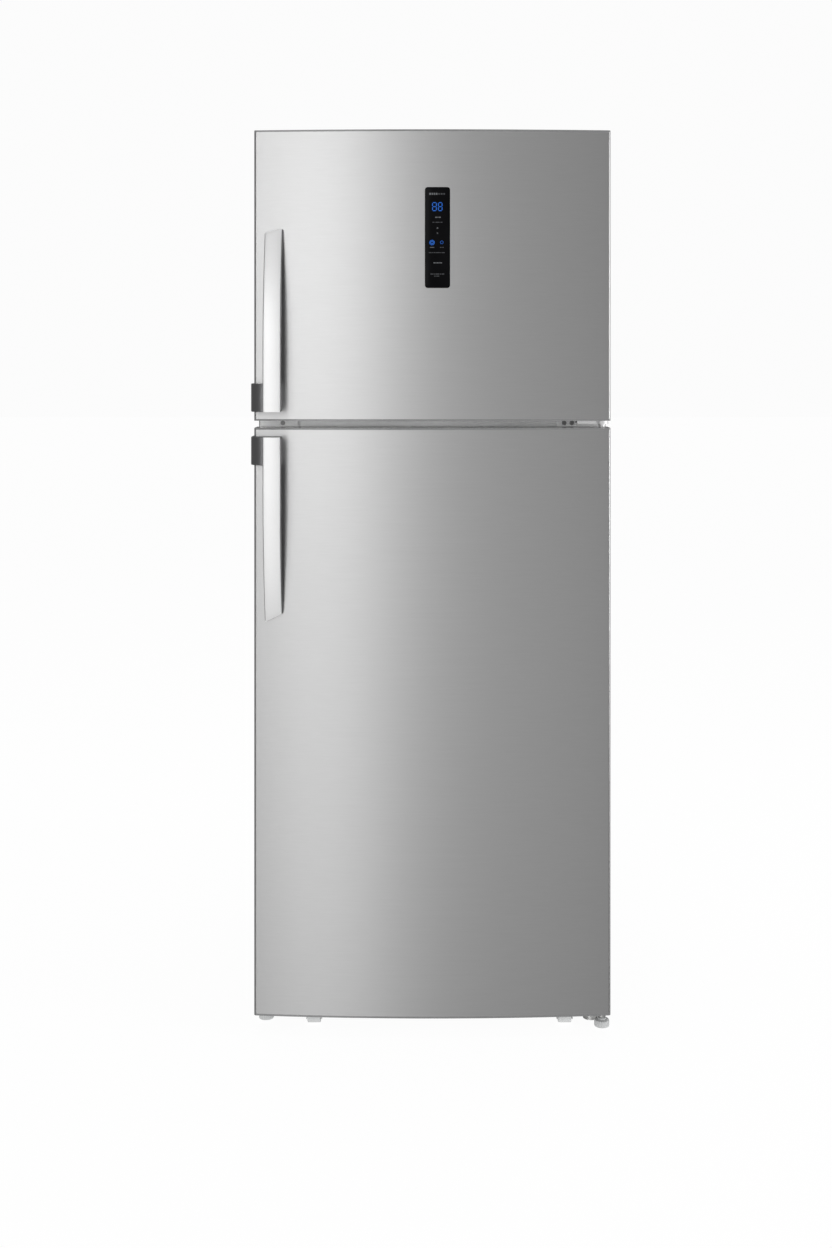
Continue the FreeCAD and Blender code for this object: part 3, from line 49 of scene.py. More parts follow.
class Surface:
    """A Principled material with helpers that add noise-driven colour, roughness and bump."""

    def __init__(self, name, colour, roughness, metallic=0.0, **constants):
        self.material = bpy.data.materials.new(name)
        self.material.use_nodes = True
        self.tree = self.material.node_tree
        self.shader = self.tree.nodes["Principled BSDF"]
        self.colour = (*colour, 1.0)
        self.set("Base Color", self.colour)
        self.set("Roughness", roughness)
        self.set("Metallic", metallic)
        self.roughness = roughness
        for socket, value in constants.items():
            self.set(socket.replace("_", " "), value)
        self.heights = None
        self.coordinates = self.tree.nodes.new("ShaderNodeTexCoord")

    def set(self, socket, value):
        self.shader.inputs[socket].default_value = value

    def link(self, source, target):
        self.tree.links.new(source, target)

    def noise(self, scale, detail=3.0, stretch=(1, 1, 1), rough=0.55):
        """Noise whose features are 1/scale metres long, drawn out along an axis with a small stretch."""
        mapping = self.tree.nodes.new("ShaderNodeMapping")
        mapping.inputs["Scale"].default_value = stretch
        self.link(self.coordinates.outputs["Object"], mapping.inputs["Vector"])
        node = self.tree.nodes.new("ShaderNodeTexNoise")
        node.inputs["Scale"].default_value = scale
        node.inputs["Detail"].default_value = detail
        node.inputs["Roughness"].default_value = rough
        self.link(mapping.outputs["Vector"], node.inputs["Vector"])
        return node.outputs["Fac"]

    def cells(self, scale):
        node = self.tree.nodes.new("ShaderNodeTexVoronoi")
        node.inputs["Scale"].default_value = scale
        self.link(self.coordinates.outputs["Object"], node.inputs["Vector"])
        return node.outputs["Distance"]

    def spread(self, source, low, high):
        node = self.tree.nodes.new("ShaderNodeMapRange")
        node.inputs["From Min"].default_value = 0.3
        node.inputs["From Max"].default_value = 0.7
        node.inputs["To Min"].default_value = low
        node.inputs["To Max"].default_value = high
        self.link(source, node.inputs["Value"])
        return node.outputs["Result"]

    def tint(self, source, amount):
        """Varies the base colour by a share either way."""
        mix = self.tree.nodes.new("ShaderNodeMix")
        mix.data_type = "RGBA"
        red, green, blue, _ = self.colour
        mix.inputs["A"].default_value = (red * (1 - amount), green * (1 - amount), blue * (1 - amount), 1)
        mix.inputs["B"].default_value = (
            min(1, red * (1 + amount)), min(1, green * (1 + amount)), min(1, blue * (1 + amount)), 1)
        self.link(self.spread(source, 0, 1), mix.inputs["Factor"])
        self.link(mix.outputs["Result"], self.shader.inputs["Base Color"])
        return self

    def roughen(self, source, amount):
        """Varies the roughness by an amount either way."""
        low, high = max(0.02, self.roughness - amount), min(1.0, self.roughness + amount)
        self.link(self.spread(source, low, high), self.shader.inputs["Roughness"])
        return self

    def bump(self, source, height, strength=1.0):
        """Adds relief of that height, in metres."""
        node = self.tree.nodes.new("ShaderNodeBump")
        node.inputs["Strength"].default_value = strength
        node.inputs["Distance"].default_value = height
        self.link(source, node.inputs["Height"])
        if self.heights is not None:
            self.link(self.heights, node.inputs["Normal"])
        self.heights = node.outputs["Normal"]
        self.link(self.heights, self.shader.inputs["Normal"])
        return self


def brushed_steel():
    """Satin stainless sheet, brushed from side to side."""
    s = Surface(
        "brushed_steel", (0.62, 0.62, 0.62), 0.36, 1.0, Anisotropic=0.55, Anisotropic_Rotation=0.25)
    lines = s.noise(900, 4, stretch=(0.012, 1, 1))
    s.tint(s.noise(420, 5, stretch=(0.02, 1, 1)), 0.014)
    s.roughen(lines, 0.02)
    s.bump(lines, 0.000006)
    tangent = s.tree.nodes.new("ShaderNodeTangent")
    tangent.direction_type = "RADIAL"
    tangent.axis = "Z"
    s.link(tangent.outputs["Tangent"], s.shader.inputs["Tangent"])
    return s.material


def satin_aluminium():
    """The bright handle face, with a very fine grain along its length."""
    s = Surface("satin_aluminium", (0.97, 0.97, 0.97), 0.38, 0.5)
    grain = s.noise(1500, 3, stretch=(1, 1, 0.03))
    s.tint(grain, 0.02)
    s.roughen(grain, 0.03)
    s.bump(grain, 0.000006)
    return s.material


def satin_graphite():
    """The dark metallic finish of the handles' roots and undersides."""
    s = Surface("satin_graphite", (0.29, 0.29, 0.295), 0.38, 1.0)
    grain = s.noise(1800, 3)
    s.tint(grain, 0.05)
    s.roughen(s.noise(70, 3), 0.04)
    s.bump(grain, 0.000006)
    return s.material


def moulded(name, colour, roughness, grain=0.00002, **constants):
    """Injection-moulded plastic with a fine spark-eroded grain and faint cloudiness."""
    s = Surface(name, colour, roughness, 0.0, **constants)
    s.tint(s.noise(14, 3), 0.05)
    fine = s.noise(2600, 2)
    s.roughen(s.noise(90, 3), 0.05)
    s.bump(fine, grain)
    return s.material


def painted_steel(name, colour, roughness, metallic=0.25, **constants):
    """Powder-coated sheet: orange peel, and slow changes of gloss."""
    s = Surface(name, colour, roughness, metallic, Coat_Weight=0.25, Coat_Roughness=0.25, **constants)
    s.tint(s.noise(1800, 2), 0.05)
    s.roughen(s.noise(6, 3), 0.04)
    s.bump(s.noise(420, 2), 0.00004)
    return s.material


def zinc_plate():
    """Bright zinc on pressed steel, with faint spangle and handling marks."""
    s = Surface("zinc_plate", (0.80, 0.80, 0.79), 0.34, 1.0)
    s.tint(s.cells(160), 0.08)
    s.roughen(s.noise(60, 5), 0.10)
    s.bump(s.noise(700, 3), 0.00002)
    return s.material


def screw_painted_shade():
    """Screw heads made dark all over: painted shade standing in for the shadow in the slots round them.
    """
    s = Surface("screw_painted_shade", (0.27, 0.27, 0.27), 0.35, 0.8)
    s.tint(s.noise(900, 3), 0.2)
    s.roughen(s.noise(400, 3), 0.08)
    s.bump(s.noise(1500, 3), 0.00002)
    return s.material


def cast_black():
    s = Surface("black_enamel", (0.016, 0.016, 0.017), 0.38, 0.0, Coat_Weight=0.3, Coat_Roughness=0.2)
    s.tint(s.noise(30, 4), 0.25)
    s.roughen(s.noise(25, 4), 0.10)
    s.bump(s.noise(300, 3), 0.00006)
    return s.material


def liner_white():
    s = Surface("liner_white", (0.83, 0.84, 0.84), 0.32, 0.0, Coat_Weight=0.2, Coat_Roughness=0.12)
    s.tint(s.noise(5, 2), 0.02)
    s.roughen(s.noise(40, 3), 0.05)
    s.bump(s.noise(60, 2), 0.00006)
    return s.material


def clear_plastic():
    s = Surface("clear_plastic", (0.86, 0.91, 0.93), 0.10, 0.0, Transmission_Weight=0.82, IOR=1.49)
    s.tint(s.noise(8, 2), 0.03)
    s.roughen(s.noise(30, 3), 0.05)
    s.bump(s.noise(25, 2), 0.00008)
    return s.material


def pane_glass():
    s = Surface("pane_glass", (0.86, 0.95, 0.92), 0.03, 0.0, Transmission_Weight=0.92, IOR=1.52)
    s.tint(s.noise(3, 2), 0.02)
    s.roughen(s.noise(50, 3), 0.015)
    s.bump(s.noise(9, 1), 0.00002)
    return s.material


def gasket_rubber():
    s = Surface("gasket_rubber", (0.42, 0.42, 0.43), 0.62)
    s.tint(s.noise(40, 3), 0.10)
    s.roughen(s.noise(120, 3), 0.08)
    s.bump(s.noise(1400, 3), 0.00003)
    return s.material


def blown_foam():
    s = Surface("blown_foam", (0.80, 0.72, 0.48), 0.9)
    s.tint(s.noise(35, 4), 0.12)
    s.bump(s.cells(900), 0.0004)
    return s.material


def black_glass():
    """Smoked glass with an anti-glare face."""
    s = Surface("black_glass", (0.0035, 0.0035, 0.004), 0.12, 0.0, Specular_IOR_Level=0.05)
    s.tint(s.noise(20, 2), 0.3)
    s.roughen(s.noise(140, 4), 0.02)
    s.bump(s.noise(12, 1), 0.00001)
    return s.material


def glowing(name, colour, strength):
    """A lit mark behind the display glass, a little uneven as light guides are."""
    shade = tuple(0.1 * part for part in colour)
    s = Surface(name, shade, 0.4, 0.0, Emission_Color=(*colour, 1.0), Emission_Strength=strength,
                Specular_IOR_Level=0.05)
    s.tint(s.noise(900, 2), 0.2)
    return s.material


STEEL = brushed_steel()
BRIGHT = satin_aluminium()
DARK = moulded("dark_plastic", (0.030, 0.030, 0.031), 0.42)
CAP = moulded("cap_plastic", (0.23, 0.231, 0.233), 0.24, Coat_Weight=0.5, Coat_Roughness=0.12)
GREY = moulded("grey_plastic", (0.36, 0.365, 0.37), 0.45)
HOLE_COVER = painted_steel("hole_cover", (0.95, 0.95, 0.95), 0.36, 0.5, Anisotropic=0.6)
ROLLER = moulded("roller_plastic", (0.66, 0.67, 0.67), 0.42)
GRAPHITE = satin_graphite()
SIDE_PAINT = painted_steel("side_paint", (0.30, 0.305, 0.31), 0.42)
RAIL_PAINT = painted_steel("rail_paint", (0.95, 0.95, 0.95), 0.36, 0.6, Anisotropic=0.6)
HINGE_PLATE = painted_steel("hinge_plate", (1.0, 1.0, 1.0), 0.45, 0.75, Anisotropic=0.8)
ZINC = zinc_plate()
# The screws' dark colour is painted shade for the shadow in their recessed slots.
SCREW_PAINTED_SHADE = screw_painted_shade()
BLACK = cast_black()
WHITE = liner_white()
CLEAR = clear_plastic()
PANE = pane_glass()
RUBBER = gasket_rubber()
FOAM = blown_foam()
BLACK_GLASS = black_glass()
LED_BLUE = glowing("led_blue", (0.026, 0.127, 0.51), 1.0)
LED_WHITE = glowing("led_white", (0.120, 0.125, 0.130), 1.0)
LED_DIM = glowing("led_dim", (0.055, 0.057, 0.060), 1.0)

for node, material in {
    "cabinet_wrapper": SIDE_PAINT, "base_pan": ZINC, "back_panel": ZINC, "cabinet_foam": FOAM,
    "freezer_liner": WHITE, "fridge_liner": WHITE, "centre_rail": RAIL_PAINT,
    "hinge_hole_cover": HOLE_COVER, "top_hinge": ZINC, "top_hinge_cover": CAP,
    "middle_hinge": HINGE_PLATE,
    "bottom_hinge": ZINC, "cabinet_screws": SCREW_PAINTED_SHADE, "base_brackets": ZINC, "freezer_shelf": WHITE,
    "evaporator": ZINC, "evaporator_cover": WHITE, "fan_motor": DARK, "ice_tray_frame": WHITE,
    "glass_shelves": PANE, "shelf_trims": WHITE, "air_duct": WHITE, "lamp": CLEAR,
    "compressor": BLACK, "condenser": BLACK, "drain_pan": GREY, "power_inlet": DARK,
    "foot_left": ROLLER, "foot_right": ROLLER, "front_roller_left": ROLLER,
    "front_roller_right": ROLLER, "rear_roller_left": ROLLER, "rear_roller_right": ROLLER,
    "evaporator_fan": GREY, "ice_tray": WHITE, "ice_box": CLEAR, "crisper_drawer_left": CLEAR,
    "crisper_drawer_right": CLEAR, "humidity_slider": GREY, "temperature_knob": GREY,
    "freezer_door_skin": STEEL, "freezer_door_foam": FOAM, "freezer_door_liner": WHITE,
    "freezer_door_end_caps": CAP, "freezer_door_gasket": RUBBER, "freezer_handle_face": BRIGHT,
    "freezer_handle_core": GRAPHITE, "freezer_handle_bracket": GRAPHITE, "display_panel": BLACK_GLASS,
    "freezer_door_bin": CLEAR, "fridge_door_skin": STEEL, "fridge_door_foam": FOAM,
    "fridge_door_liner": WHITE, "fridge_door_end_caps": CAP, "fridge_door_gasket": RUBBER,
    "fridge_handle_face": BRIGHT, "fridge_handle_core": GRAPHITE, "fridge_handle_bracket": GRAPHITE,
    "fridge_door_bins": CLEAR, "dairy_cover": CLEAR,
}.items():
    slots = NODES[node].data.materials
    slots.clear()
    slots.append(material)

# ---------------------------------------------------------------- mesh helpers


def add(name, verts, faces, material, body, smooth_angle=35):
    """A new piece that rides on a body, smooth except where its faces meet at a sharp angle."""
    mesh = bpy.data.meshes.new(name)
    mesh.from_pydata([tuple(v) for v in verts], [], faces)
    mesh.materials.append(material)
    piece = bpy.data.objects.new(name, mesh)
    bpy.context.scene.collection.objects.link(piece)
    clean(mesh)
    mesh.shade_smooth()
    mesh.set_sharp_from_angle(angle=math.radians(smooth_angle))
    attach(piece, body)
    return piece


def clean(mesh):
    """Welds doubled points and turns every face outwards."""
    work = bmesh.new()
    work.from_mesh(mesh)
    bmesh.ops.remove_doubles(work, verts=work.verts, dist=1e-6)
    bmesh.ops.recalc_face_normals(work, faces=work.faces)
    work.to_mesh(mesh)
    work.free()


def bevel(piece, width, segments=3, angle=40):
    modifier = piece.modifiers.new("rounded edges", "BEVEL")
    modifier.width = width
    modifier.segments = segments
    modifier.limit_method = "ANGLE"
    modifier.angle_limit = math.radians(angle)
    modifier.harden_normals = True
    return piece


def loft(rings, closed=True, capped=True):
    """Vertices and faces that join equal rings of points, one after another."""
    count = len(rings[0])
    verts = [p for ring in rings for p in ring]
    faces = []
    span = count if closed else count - 1
    for row in range(len(rings) - 1):
        for i in range(span):
            a, b = row * count + i, row * count + (i + 1) % count
            faces.append((a, b, b + count, a + count))
    if capped:
        faces.append(tuple(range(count)))
        last = (len(rings) - 1) * count
        faces.append(tuple(last + i for i in reversed(range(count))))
    return verts, faces


def arc_points(centre, radius, start, end, steps):
    """Points on an arc in a plane, with angles in degrees."""
    turn = (math.radians(start + (end - start) * i / steps) for i in range(steps + 1))
    return [(centre[0] + radius * math.cos(t), centre[1] + radius * math.sin(t)) for t in turn]


def rounded_rectangle(low, high, radius, steps=6):
    (x0, y0), (x1, y1) = low, high
    points = []
    for cx, cy, start in (
            (x1 - radius, y0 + radius, -90), (x1 - radius, y1 - radius, 0),
            (x0 + radius, y1 - radius, 90), (x0 + radius, y0 + radius, 180)):
        points += arc_points((cx, cy), radius, start, start + 90, steps)
    return points

# ---------------------------------------------------------------- door sheets
# The front of a door is a shallow bow between two round corners, seen here from above.

skin_low, skin_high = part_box("fridge_door_skin")
HALF, BACK, FRONT = skin_high.x, skin_high.y, skin_low.y
CORNER = 0.005
BOW = 0.014
SHEET = 0.001
HEM = 0.018
BOW_HALF = HALF - CORNER
BOW_RADIUS = (BOW_HALF ** 2 + BOW ** 2) / (2 * BOW)


def bow_y(x):
    """The door's front surface at x."""
    x = min(abs(x), HALF)
    if x <= BOW_HALF:
        return FRONT + BOW_RADIUS - math.sqrt(BOW_RADIUS ** 2 - x * x)
    return FRONT + BOW + CORNER - math.sqrt(CORNER ** 2 - (x - BOW_HALF) ** 2)


def door_path(inset, columns=96):
    """From the left hem round the front to the right hem, that far inside the outer surface."""
    half, back, bend = HALF - inset, BACK - inset, 0.0016 - inset
    turn = FRONT + BOW + CORNER
    path = [(-HALF + HEM, back)]
    path += arc_points((-half + bend, back - bend), bend, 90, 180, 4)
    path += arc_points((-BOW_HALF, turn), CORNER - inset, 180, 270, 10)[:-1]
    for i in range(columns + 1):
        x = -BOW_HALF + 2 * BOW_HALF * i / columns
        path.append((x, bow_y(x) + inset))
    path += arc_points((BOW_HALF, turn), CORNER - inset, 270, 360, 10)[1:]
    path += arc_points((half - bend, back - bend), bend, 0, 90, 4)
    path.append((HALF - HEM, back))
    return path


def carve(piece, cutters):
    """Cuts other meshes out of a piece and removes them."""
    for cutter in cutters:
        modifier = piece.modifiers.new("cut", "BOOLEAN")
        modifier.object = cutter
        modifier.solver = "EXACT"
    evaluated = piece.evaluated_get(bpy.context.evaluated_depsgraph_get())
    mesh = bpy.data.meshes.new_from_object(evaluated)
    piece.modifiers.clear()
    piece.data = mesh
    for cutter in cutters:
        bpy.data.objects.remove(cutter)
    clean(mesh)
    mesh.shade_smooth()
    mesh.set_sharp_from_angle(angle=math.radians(35))


def block(low, high):
    """A box for cutting with."""
    mesh = bpy.data.meshes.new("cutter")
    corners = [(x, y, z) for z in (low[2], high[2]) for x, y in (
        (low[0], low[1]), (high[0], low[1]), (high[0], high[1]), (low[0], high[1]))]
    mesh.from_pydata(corners, [], [
        (0, 3, 2, 1), (4, 5, 6, 7), (0, 1, 5, 4), (1, 2, 6, 5), (2, 3, 7, 6), (3, 0, 4, 7)])
    cutter = bpy.data.objects.new("cutter", mesh)
    bpy.context.scene.collection.objects.link(cutter)
    return cutter


def door_skin(name, body, holes):
    """A folded sheet with hems, cut where something passes through it."""
    node = f"{name}_door_skin"
    low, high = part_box(node)
    outer, inner = door_path(0), door_path(SHEET)
    ring = outer + inner[::-1]
    verts, faces = [], []
    for z in (low.z, high.z):
        verts += [(x, y, z) for x, y in ring]
    count, half = len(ring), len(outer)
    for i in range(count):
        j = (i + 1) % count
        faces.append((i, j, j + count, i + count))
    for i in range(half - 1):
        a, b, c, e = i, i + 1, count - 2 - i, count - 1 - i
        faces.append((a, e, c, b))
        faces.append((a + count, b + count, c + count, e + count))
    piece = add(f"{name}_door_sheet", verts, faces, STEEL, body)
    if holes:
        carve(piece, holes)
    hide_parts(node)
    return piece


panel_low, panel_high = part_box("display_panel")
GLASS_THICK = 0.0034
GLASS_CORNER = 0.0055


def prism(points, y0, y1):
    """A closed solid between two planes of constant y, for cutting with."""
    verts, faces = loft([[(x, y, z) for x, z in points] for y in (y0, y1)])
    mesh = bpy.data.meshes.new("cutter")
    mesh.from_pydata(verts, [], faces)
    cutter = bpy.data.objects.new("cutter", mesh)
    bpy.context.scene.collection.objects.link(cutter)
    clean(mesh)
    return cutter


# The freezer door's sheet has a window for the display and a notch for the top hinge.
GAP = 0.0002
window = rounded_rectangle(
    (panel_low.x - GAP, panel_low.z - GAP), (panel_high.x + GAP, panel_high.z + GAP),
    GLASS_CORNER + GAP, 8)
recess = block((0.321, -0.300, 1.755), (0.36, -0.25, 1.78))
door_skin("freezer", "freezer_door", [prism(window, FRONT - 0.004, FRONT + 0.012), recess])
door_skin("fridge", "fridge_door", [])

# ---------------------------------------------------------------- handles


# How far a handle runs straight, its whole reach, and the depth at which its far end would sit.
GRIP_STRAIGHT, GRIP_LENGTH, GRIP_SEAT = 0.105, 0.366, -0.3236


class Grip:
    """The path of a handle: straight off its root, then bowed down towards the door."""

    def __init__(self, node, way):
        self.low, self.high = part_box(node)
        self.way = way
        self.root = self.low.z if way > 0 else self.high.z
        self.front, self.straight = self.low.y, GRIP_STRAIGHT
        over, drop = GRIP_LENGTH - GRIP_STRAIGHT, GRIP_SEAT - self.front
        self.radius = (over * over + drop * drop) / (2 * drop)

    def at(self, along, depth):
        """The point that far along and that deep behind the front, and how far up it lies."""
        if along <= self.straight:
            return self.front + depth, along
        turn = math.asin(min(1.0, (along - self.straight) / self.radius))
        radius = self.radius - depth
        return self.front + self.radius - radius * math.cos(turn), self.straight + radius * math.sin(turn)


def bar_section(left, right, front, back, radius, crown):
    """A bar's cross section as (x, depth) pairs; the crown sets the long edges of its front back."""
    section = rounded_rectangle((left, front), (right, back), radius, 5)
    steps = 12
    face = [(left + radius + (right - left - 2 * radius) * i / steps, front) for i in range(1, steps)]
    middle, half = (left + right) / 2, (right - left) / 2
    points = []
    for x, depth in section + face:
        if depth < front + radius:
            depth += crown * ((x - middle) / half) ** 2
        points.append((x, depth))
    return points


def grip_bar(name, grip, node, body, material, edges, depths, lengths, radius,
             crown=0.0, corner=0.0):
    """A bar with rounded long edges that follows the grip; its far end is cut at a slant.

    lengths are those of the left and right edges; corner rounds the right corner of the root."""
    (left, right), (front, back) = edges, depths
    middle = (front + back) / 2
    section = bar_section(left, right, front, back, radius, crown)
    # close together at the root, where the corner is round, then evenly spaced
    stations = [0.0, 0.0006, 0.0015, 0.003, 0.005, 0.0075, 0.010]
    stations += [0.010 + 0.344 * i / 60 for i in range(1, 61)]
    end, eased = stations[-1], 0.0006
    scale = 1 / end
    rings = []
    for station in stations:
        share = station * scale
        ease = max(0.0, eased - station) + max(0.0, station - end + eased)
        ring = []
        for x, depth in section:
            across = (x - left) / (right - left)
            length = lengths[0] + (lengths[1] - lengths[0]) * across
            near = station if share < 0.03 else share * length
            if corner and station < corner:
                gap = corner - math.sqrt(max(0.0, corner ** 2 - (corner - station) ** 2))
                x = min(x, right - gap)
            depth = middle + (depth - middle) * (1 - min(0.35, ease / 0.0018))
            y, up = grip.at(near, depth)
            y = min(y, bow_y(x) - 0.00015)
            ring.append((x, y, grip.root + up * grip.way))
        rings.append(ring)
    verts, faces = loft(rings)
    piece = add(name, verts, faces, material, body, 40)
    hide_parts(node)
    return piece


def bracket(name, node, body):
    """The moulded root of a handle, wrapped round the door's left edge."""
    low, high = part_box(node)
    turn = 0.029
    outer = arc_points((low.x + turn, low.y + turn), turn, 180, 270, 16)
    clearance = 0.0002
    plan = [(low.x, high.y)] + outer + [(high.x, low.y), (high.x, bow_y(high.x) - clearance)]
    steps = 10
    for i in range(1, steps + 1):
        x = high.x + (-BOW_HALF - high.x) * i / steps
        plan.append((x, bow_y(x) - clearance))
    wrap = CORNER + clearance
    plan += arc_points((-BOW_HALF, FRONT + BOW + CORNER), wrap, 270, 180, 8)[1:]
    plan.append((-HALF - clearance, high.y))
    edge = 0.0016
    rings = []
    for z in (low.z, high.z):
        rings.append([(x, y, z) for x, y in plan])
    verts, faces = loft(rings)
    piece = add(name, verts, faces, GRAPHITE, body, 40)
    bevel(piece, edge, 3, 50)
    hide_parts(node)
    return piece


for door, way, lengths in (("freezer", 1, (0.3495, 0.3575)), ("fridge", -1, (0.363, 0.347))):
    body = f"{door}_door"
    grip = Grip(f"{door}_handle_face", way)
    grip_left, grip_right = grip.low.x, grip.high.x
    grip_bar(
        f"{door}_grip_face", grip, f"{door}_handle_face", body, BRIGHT,
        (grip_left - 0.001, grip_right - 0.0004), (0.0, 0.003), lengths, 0.0011, crown=0.0008)
    core_low, core_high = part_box(f"{door}_handle_core")
    grip_bar(
        f"{door}_grip_core", grip, f"{door}_handle_core", body, GRAPHITE,
        (core_low.x - 0.0012, core_high.x - 0.0014), (0.0031, 0.0108), lengths, 0.0015, corner=0.004)
    bracket(f"{door}_grip_root", f"{door}_handle_bracket", body)

# ---------------------------------------------------------------- display

GLASS_LOW, GLASS_HIGH = panel_low.z, panel_high.z
GLASS_TALL, GLASS_WIDE = GLASS_HIGH - GLASS_LOW, panel_high.x - panel_low.x


def display_glass():
    """The touch panel: a slab of dark glass with a polished rim, on its board."""
    rim, board, board_back = 0.0008, 0.003, 0.018
    profile = (
        (rim, 0), (rim * 0.45, 0.0001), (rim * 0.12, 0.00035), (0, rim), (0, GLASS_THICK),
        (board, GLASS_THICK), (board, board_back))
    rings = []
    for inset, y in profile:
        shape = rounded_rectangle(
            (panel_low.x + inset, panel_low.z + inset), (panel_high.x - inset, panel_high.z - inset),
            GLASS_CORNER - inset * 0.6, 8)
        rings.append([(x, panel_low.y + y, z) for x, z in shape])
    verts, faces = loft(rings)
    piece = add("display_glass", verts, faces, BLACK_GLASS, "freezer_door", 30)
    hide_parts("display_panel")


def mark(name, shapes, material):
    """Flat lit shapes on the glass, each a list of points in shares of the panel from its upper left."""
    verts, faces = [], []
    front, back = panel_low.y - 0.00012, panel_low.y + 0.00005
    for shape in shapes:
        points = [
            (panel_low.x + u * GLASS_WIDE, GLASS_HIGH - v * GLASS_TALL) for u, v in shape]
        new, joined = loft([[(x, y, z) for x, z in points] for y in (front, back)])
        start = len(verts)
        verts += new
        faces += [tuple(i + start for i in face) for face in joined]
    piece = add(name, verts, faces, material, "freezer_door", 30)


def bar(u0, v0, u1, v1):
    return [(u0, v0), (u1, v0), (u1, v1), (u0, v1)]


ASPECT = GLASS_WIDE / GLASS_TALL


def disc(u, v, radius, points=40):
    """A disc whose radius is a share of the panel's width."""
    turn = (2 * math.pi * i / points for i in range(points))
    return [(u + radius * math.cos(t), v + radius * math.sin(t) * ASPECT) for t in turn]


def ring_of(u, v, radius, thickness, pieces=24, gap=0.0):
    """A ring made of short blocks."""
    made = []
    for i in range(pieces):
        a, b = 2 * math.pi * i / pieces, 2 * math.pi * (i + 1 - gap) / pieces
        made.append([
            (u + r * math.cos(t), v + r * math.sin(t) * ASPECT)
            for r, t in ((radius, a), (radius, b), (radius - thickness, b), (radius - thickness, a))])
    return made


def spokes(u, v, inner, outer, thickness, count, start=0.0):
    """Short bars round a centre."""
    made = []
    for i in range(count):
        t = start + 2 * math.pi * i / count
        c, s = math.cos(t), math.sin(t)
        across = thickness / 2
        made.append([
            (u + r * c - k * s, v + (r * s + k * c) * ASPECT)
            for r, k in ((inner, -across), (outer, -across), (outer, across), (inner, across))])
    return made


def digit_eight(left, top, width, tall):
    """The seven segments of a lit 8."""
    thick = 0.034
    edge, gap = thick / 2, 0.012
    vt = thick * ASPECT
    middle = top + tall / 2
    made = []
    for v in (top + vt / 2, middle, top + tall - vt / 2):
        made.append([
            (left + edge + gap, v), (left + thick + gap, v - vt / 2),
            (left + width - thick - gap, v - vt / 2), (left + width - edge - gap, v),
            (left + width - thick - gap, v + vt / 2),
            (left + thick + gap, v + vt / 2)])
    for u in (left + edge, left + width - edge):
        for v0, v1 in ((top + vt / 2, middle), (middle, top + tall - vt / 2)):
            g = gap * ASPECT
            made.append([
                (u, v0 + g), (u + edge, v0 + vt / 2 + g), (u + edge, v1 - vt / 2 - g),
                (u, v1 - g), (u - edge, v1 - vt / 2 - g), (u - edge, v0 + vt / 2 + g)])
    return made


display_glass()
def dashes(left, right, top, bottom, weights):
    """A row of short bars, a stand-in for a line of small print."""
    total = sum(weights) + 0.45 * (len(weights) - 1)
    unit = (right - left) / total
    made, at = [], left
    for weight in weights:
        made.append(bar(at, top, at + weight * unit, bottom))
        at += (weight + 0.45) * unit
    return made


mark("display_digits",
     digit_eight(0.285, 0.150, 0.190, 0.088) + digit_eight(0.520, 0.150, 0.180, 0.088), LED_BLUE)
mark("display_dial", ring_of(0.283, 0.550, 0.110, 0.026, 8, 0.22) + ring_of(0.283, 0.550, 0.062, 0.024)
     + spokes(0.283, 0.550, 0.066, 0.092, 0.018, 8), LED_BLUE)
mark("display_dial_small", ring_of(0.672, 0.548, 0.070, 0.018, 6, 0.15), LED_BLUE)
mark("display_snow", spokes(0.50, 0.406, 0.0, 0.040, 0.013, 6)
     + spokes(0.50, 0.457, 0.0, 0.040, 0.013, 4, 0.785), LED_WHITE)
mark("display_labels",
     dashes(0.41, 0.63, 0.294, 0.305, (2, 1, 2)) + dashes(0.20, 0.37, 0.594, 0.602, (1, 2, 1))
     + dashes(0.34, 0.68, 0.746, 0.756, (2, 1, 2, 1, 2)), LED_WHITE)
mark("display_strip", dashes(0.17, 0.50, 0.057, 0.077, (1.4, 1, 1, 1.2)), LED_WHITE)
mark("display_faint",
     dashes(0.53, 0.80, 0.060, 0.075, (1, 1.2, 1)) + dashes(0.60, 0.75, 0.594, 0.602, (1, 1))
     + dashes(0.22, 0.77, 0.857, 0.867, (2, 1, 3, 1, 2)) + dashes(0.37, 0.57, 0.878, 0.887, (1, 2))
     + dashes(0.15, 0.79, 0.646, 0.654, (3, 1, 2, 4, 1, 3)) + dashes(0.30, 0.70, 0.345, 0.353, (1, 2, 1)),
     LED_DIM)

# ---------------------------------------------------------------- levelling feet


def levelling_foot(node):
    """A ribbed pad with a domed collar on its threaded stem."""
    low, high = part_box(node)
    x, y = (low.x + high.x) / 2, (low.y + high.y) / 2
    reach, stem, thread, pitch, thread_low = (high.x - low.x) / 2, 0.004, 0.0006, 0.00125, low.z + 0.0175
    profile = [
        (0.0, low.z), (reach - 0.0020, low.z), (reach - 0.0006, low.z + 0.0006), (reach, low.z + 0.002),
        (reach, low.z + 0.0112), (reach - 0.0008, low.z + 0.0128), (reach - 0.0030, low.z + 0.0138),
        (0.0085, low.z + 0.0146), (0.0078, low.z + 0.0168), (0.0045, low.z + 0.0170),
    ]
    turns = int((high.z - thread_low) / pitch) * 2
    for i in range(turns):
        profile.append((stem if i % 2 else stem - thread, thread_low + i * pitch / 2))
    profile.append((stem - thread, high.z))
    ribs, rib_depth = 20, 0.0006
    count = ribs * 4
    rings = []
    for radius, z in profile:
        ring = []
        for i in range(count):
            grooved = i % 4 in (1, 2) and radius > reach - 0.001 and z > low.z + 0.001
            turn = 2 * math.pi * i / count
            r = max(radius, 0.0005) - (rib_depth if grooved else 0.0)
            ring.append((x + r * math.cos(turn), y + r * math.sin(turn), z))
        rings.append(ring)
    verts, faces = loft(rings)
    piece = add(f"{node}_pad", verts, faces, ROLLER, node, 30)
    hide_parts(node)


levelling_foot("foot_left")
levelling_foot("foot_right")

# ---------------------------------------------------------------- rounded edges on carried-over nodes

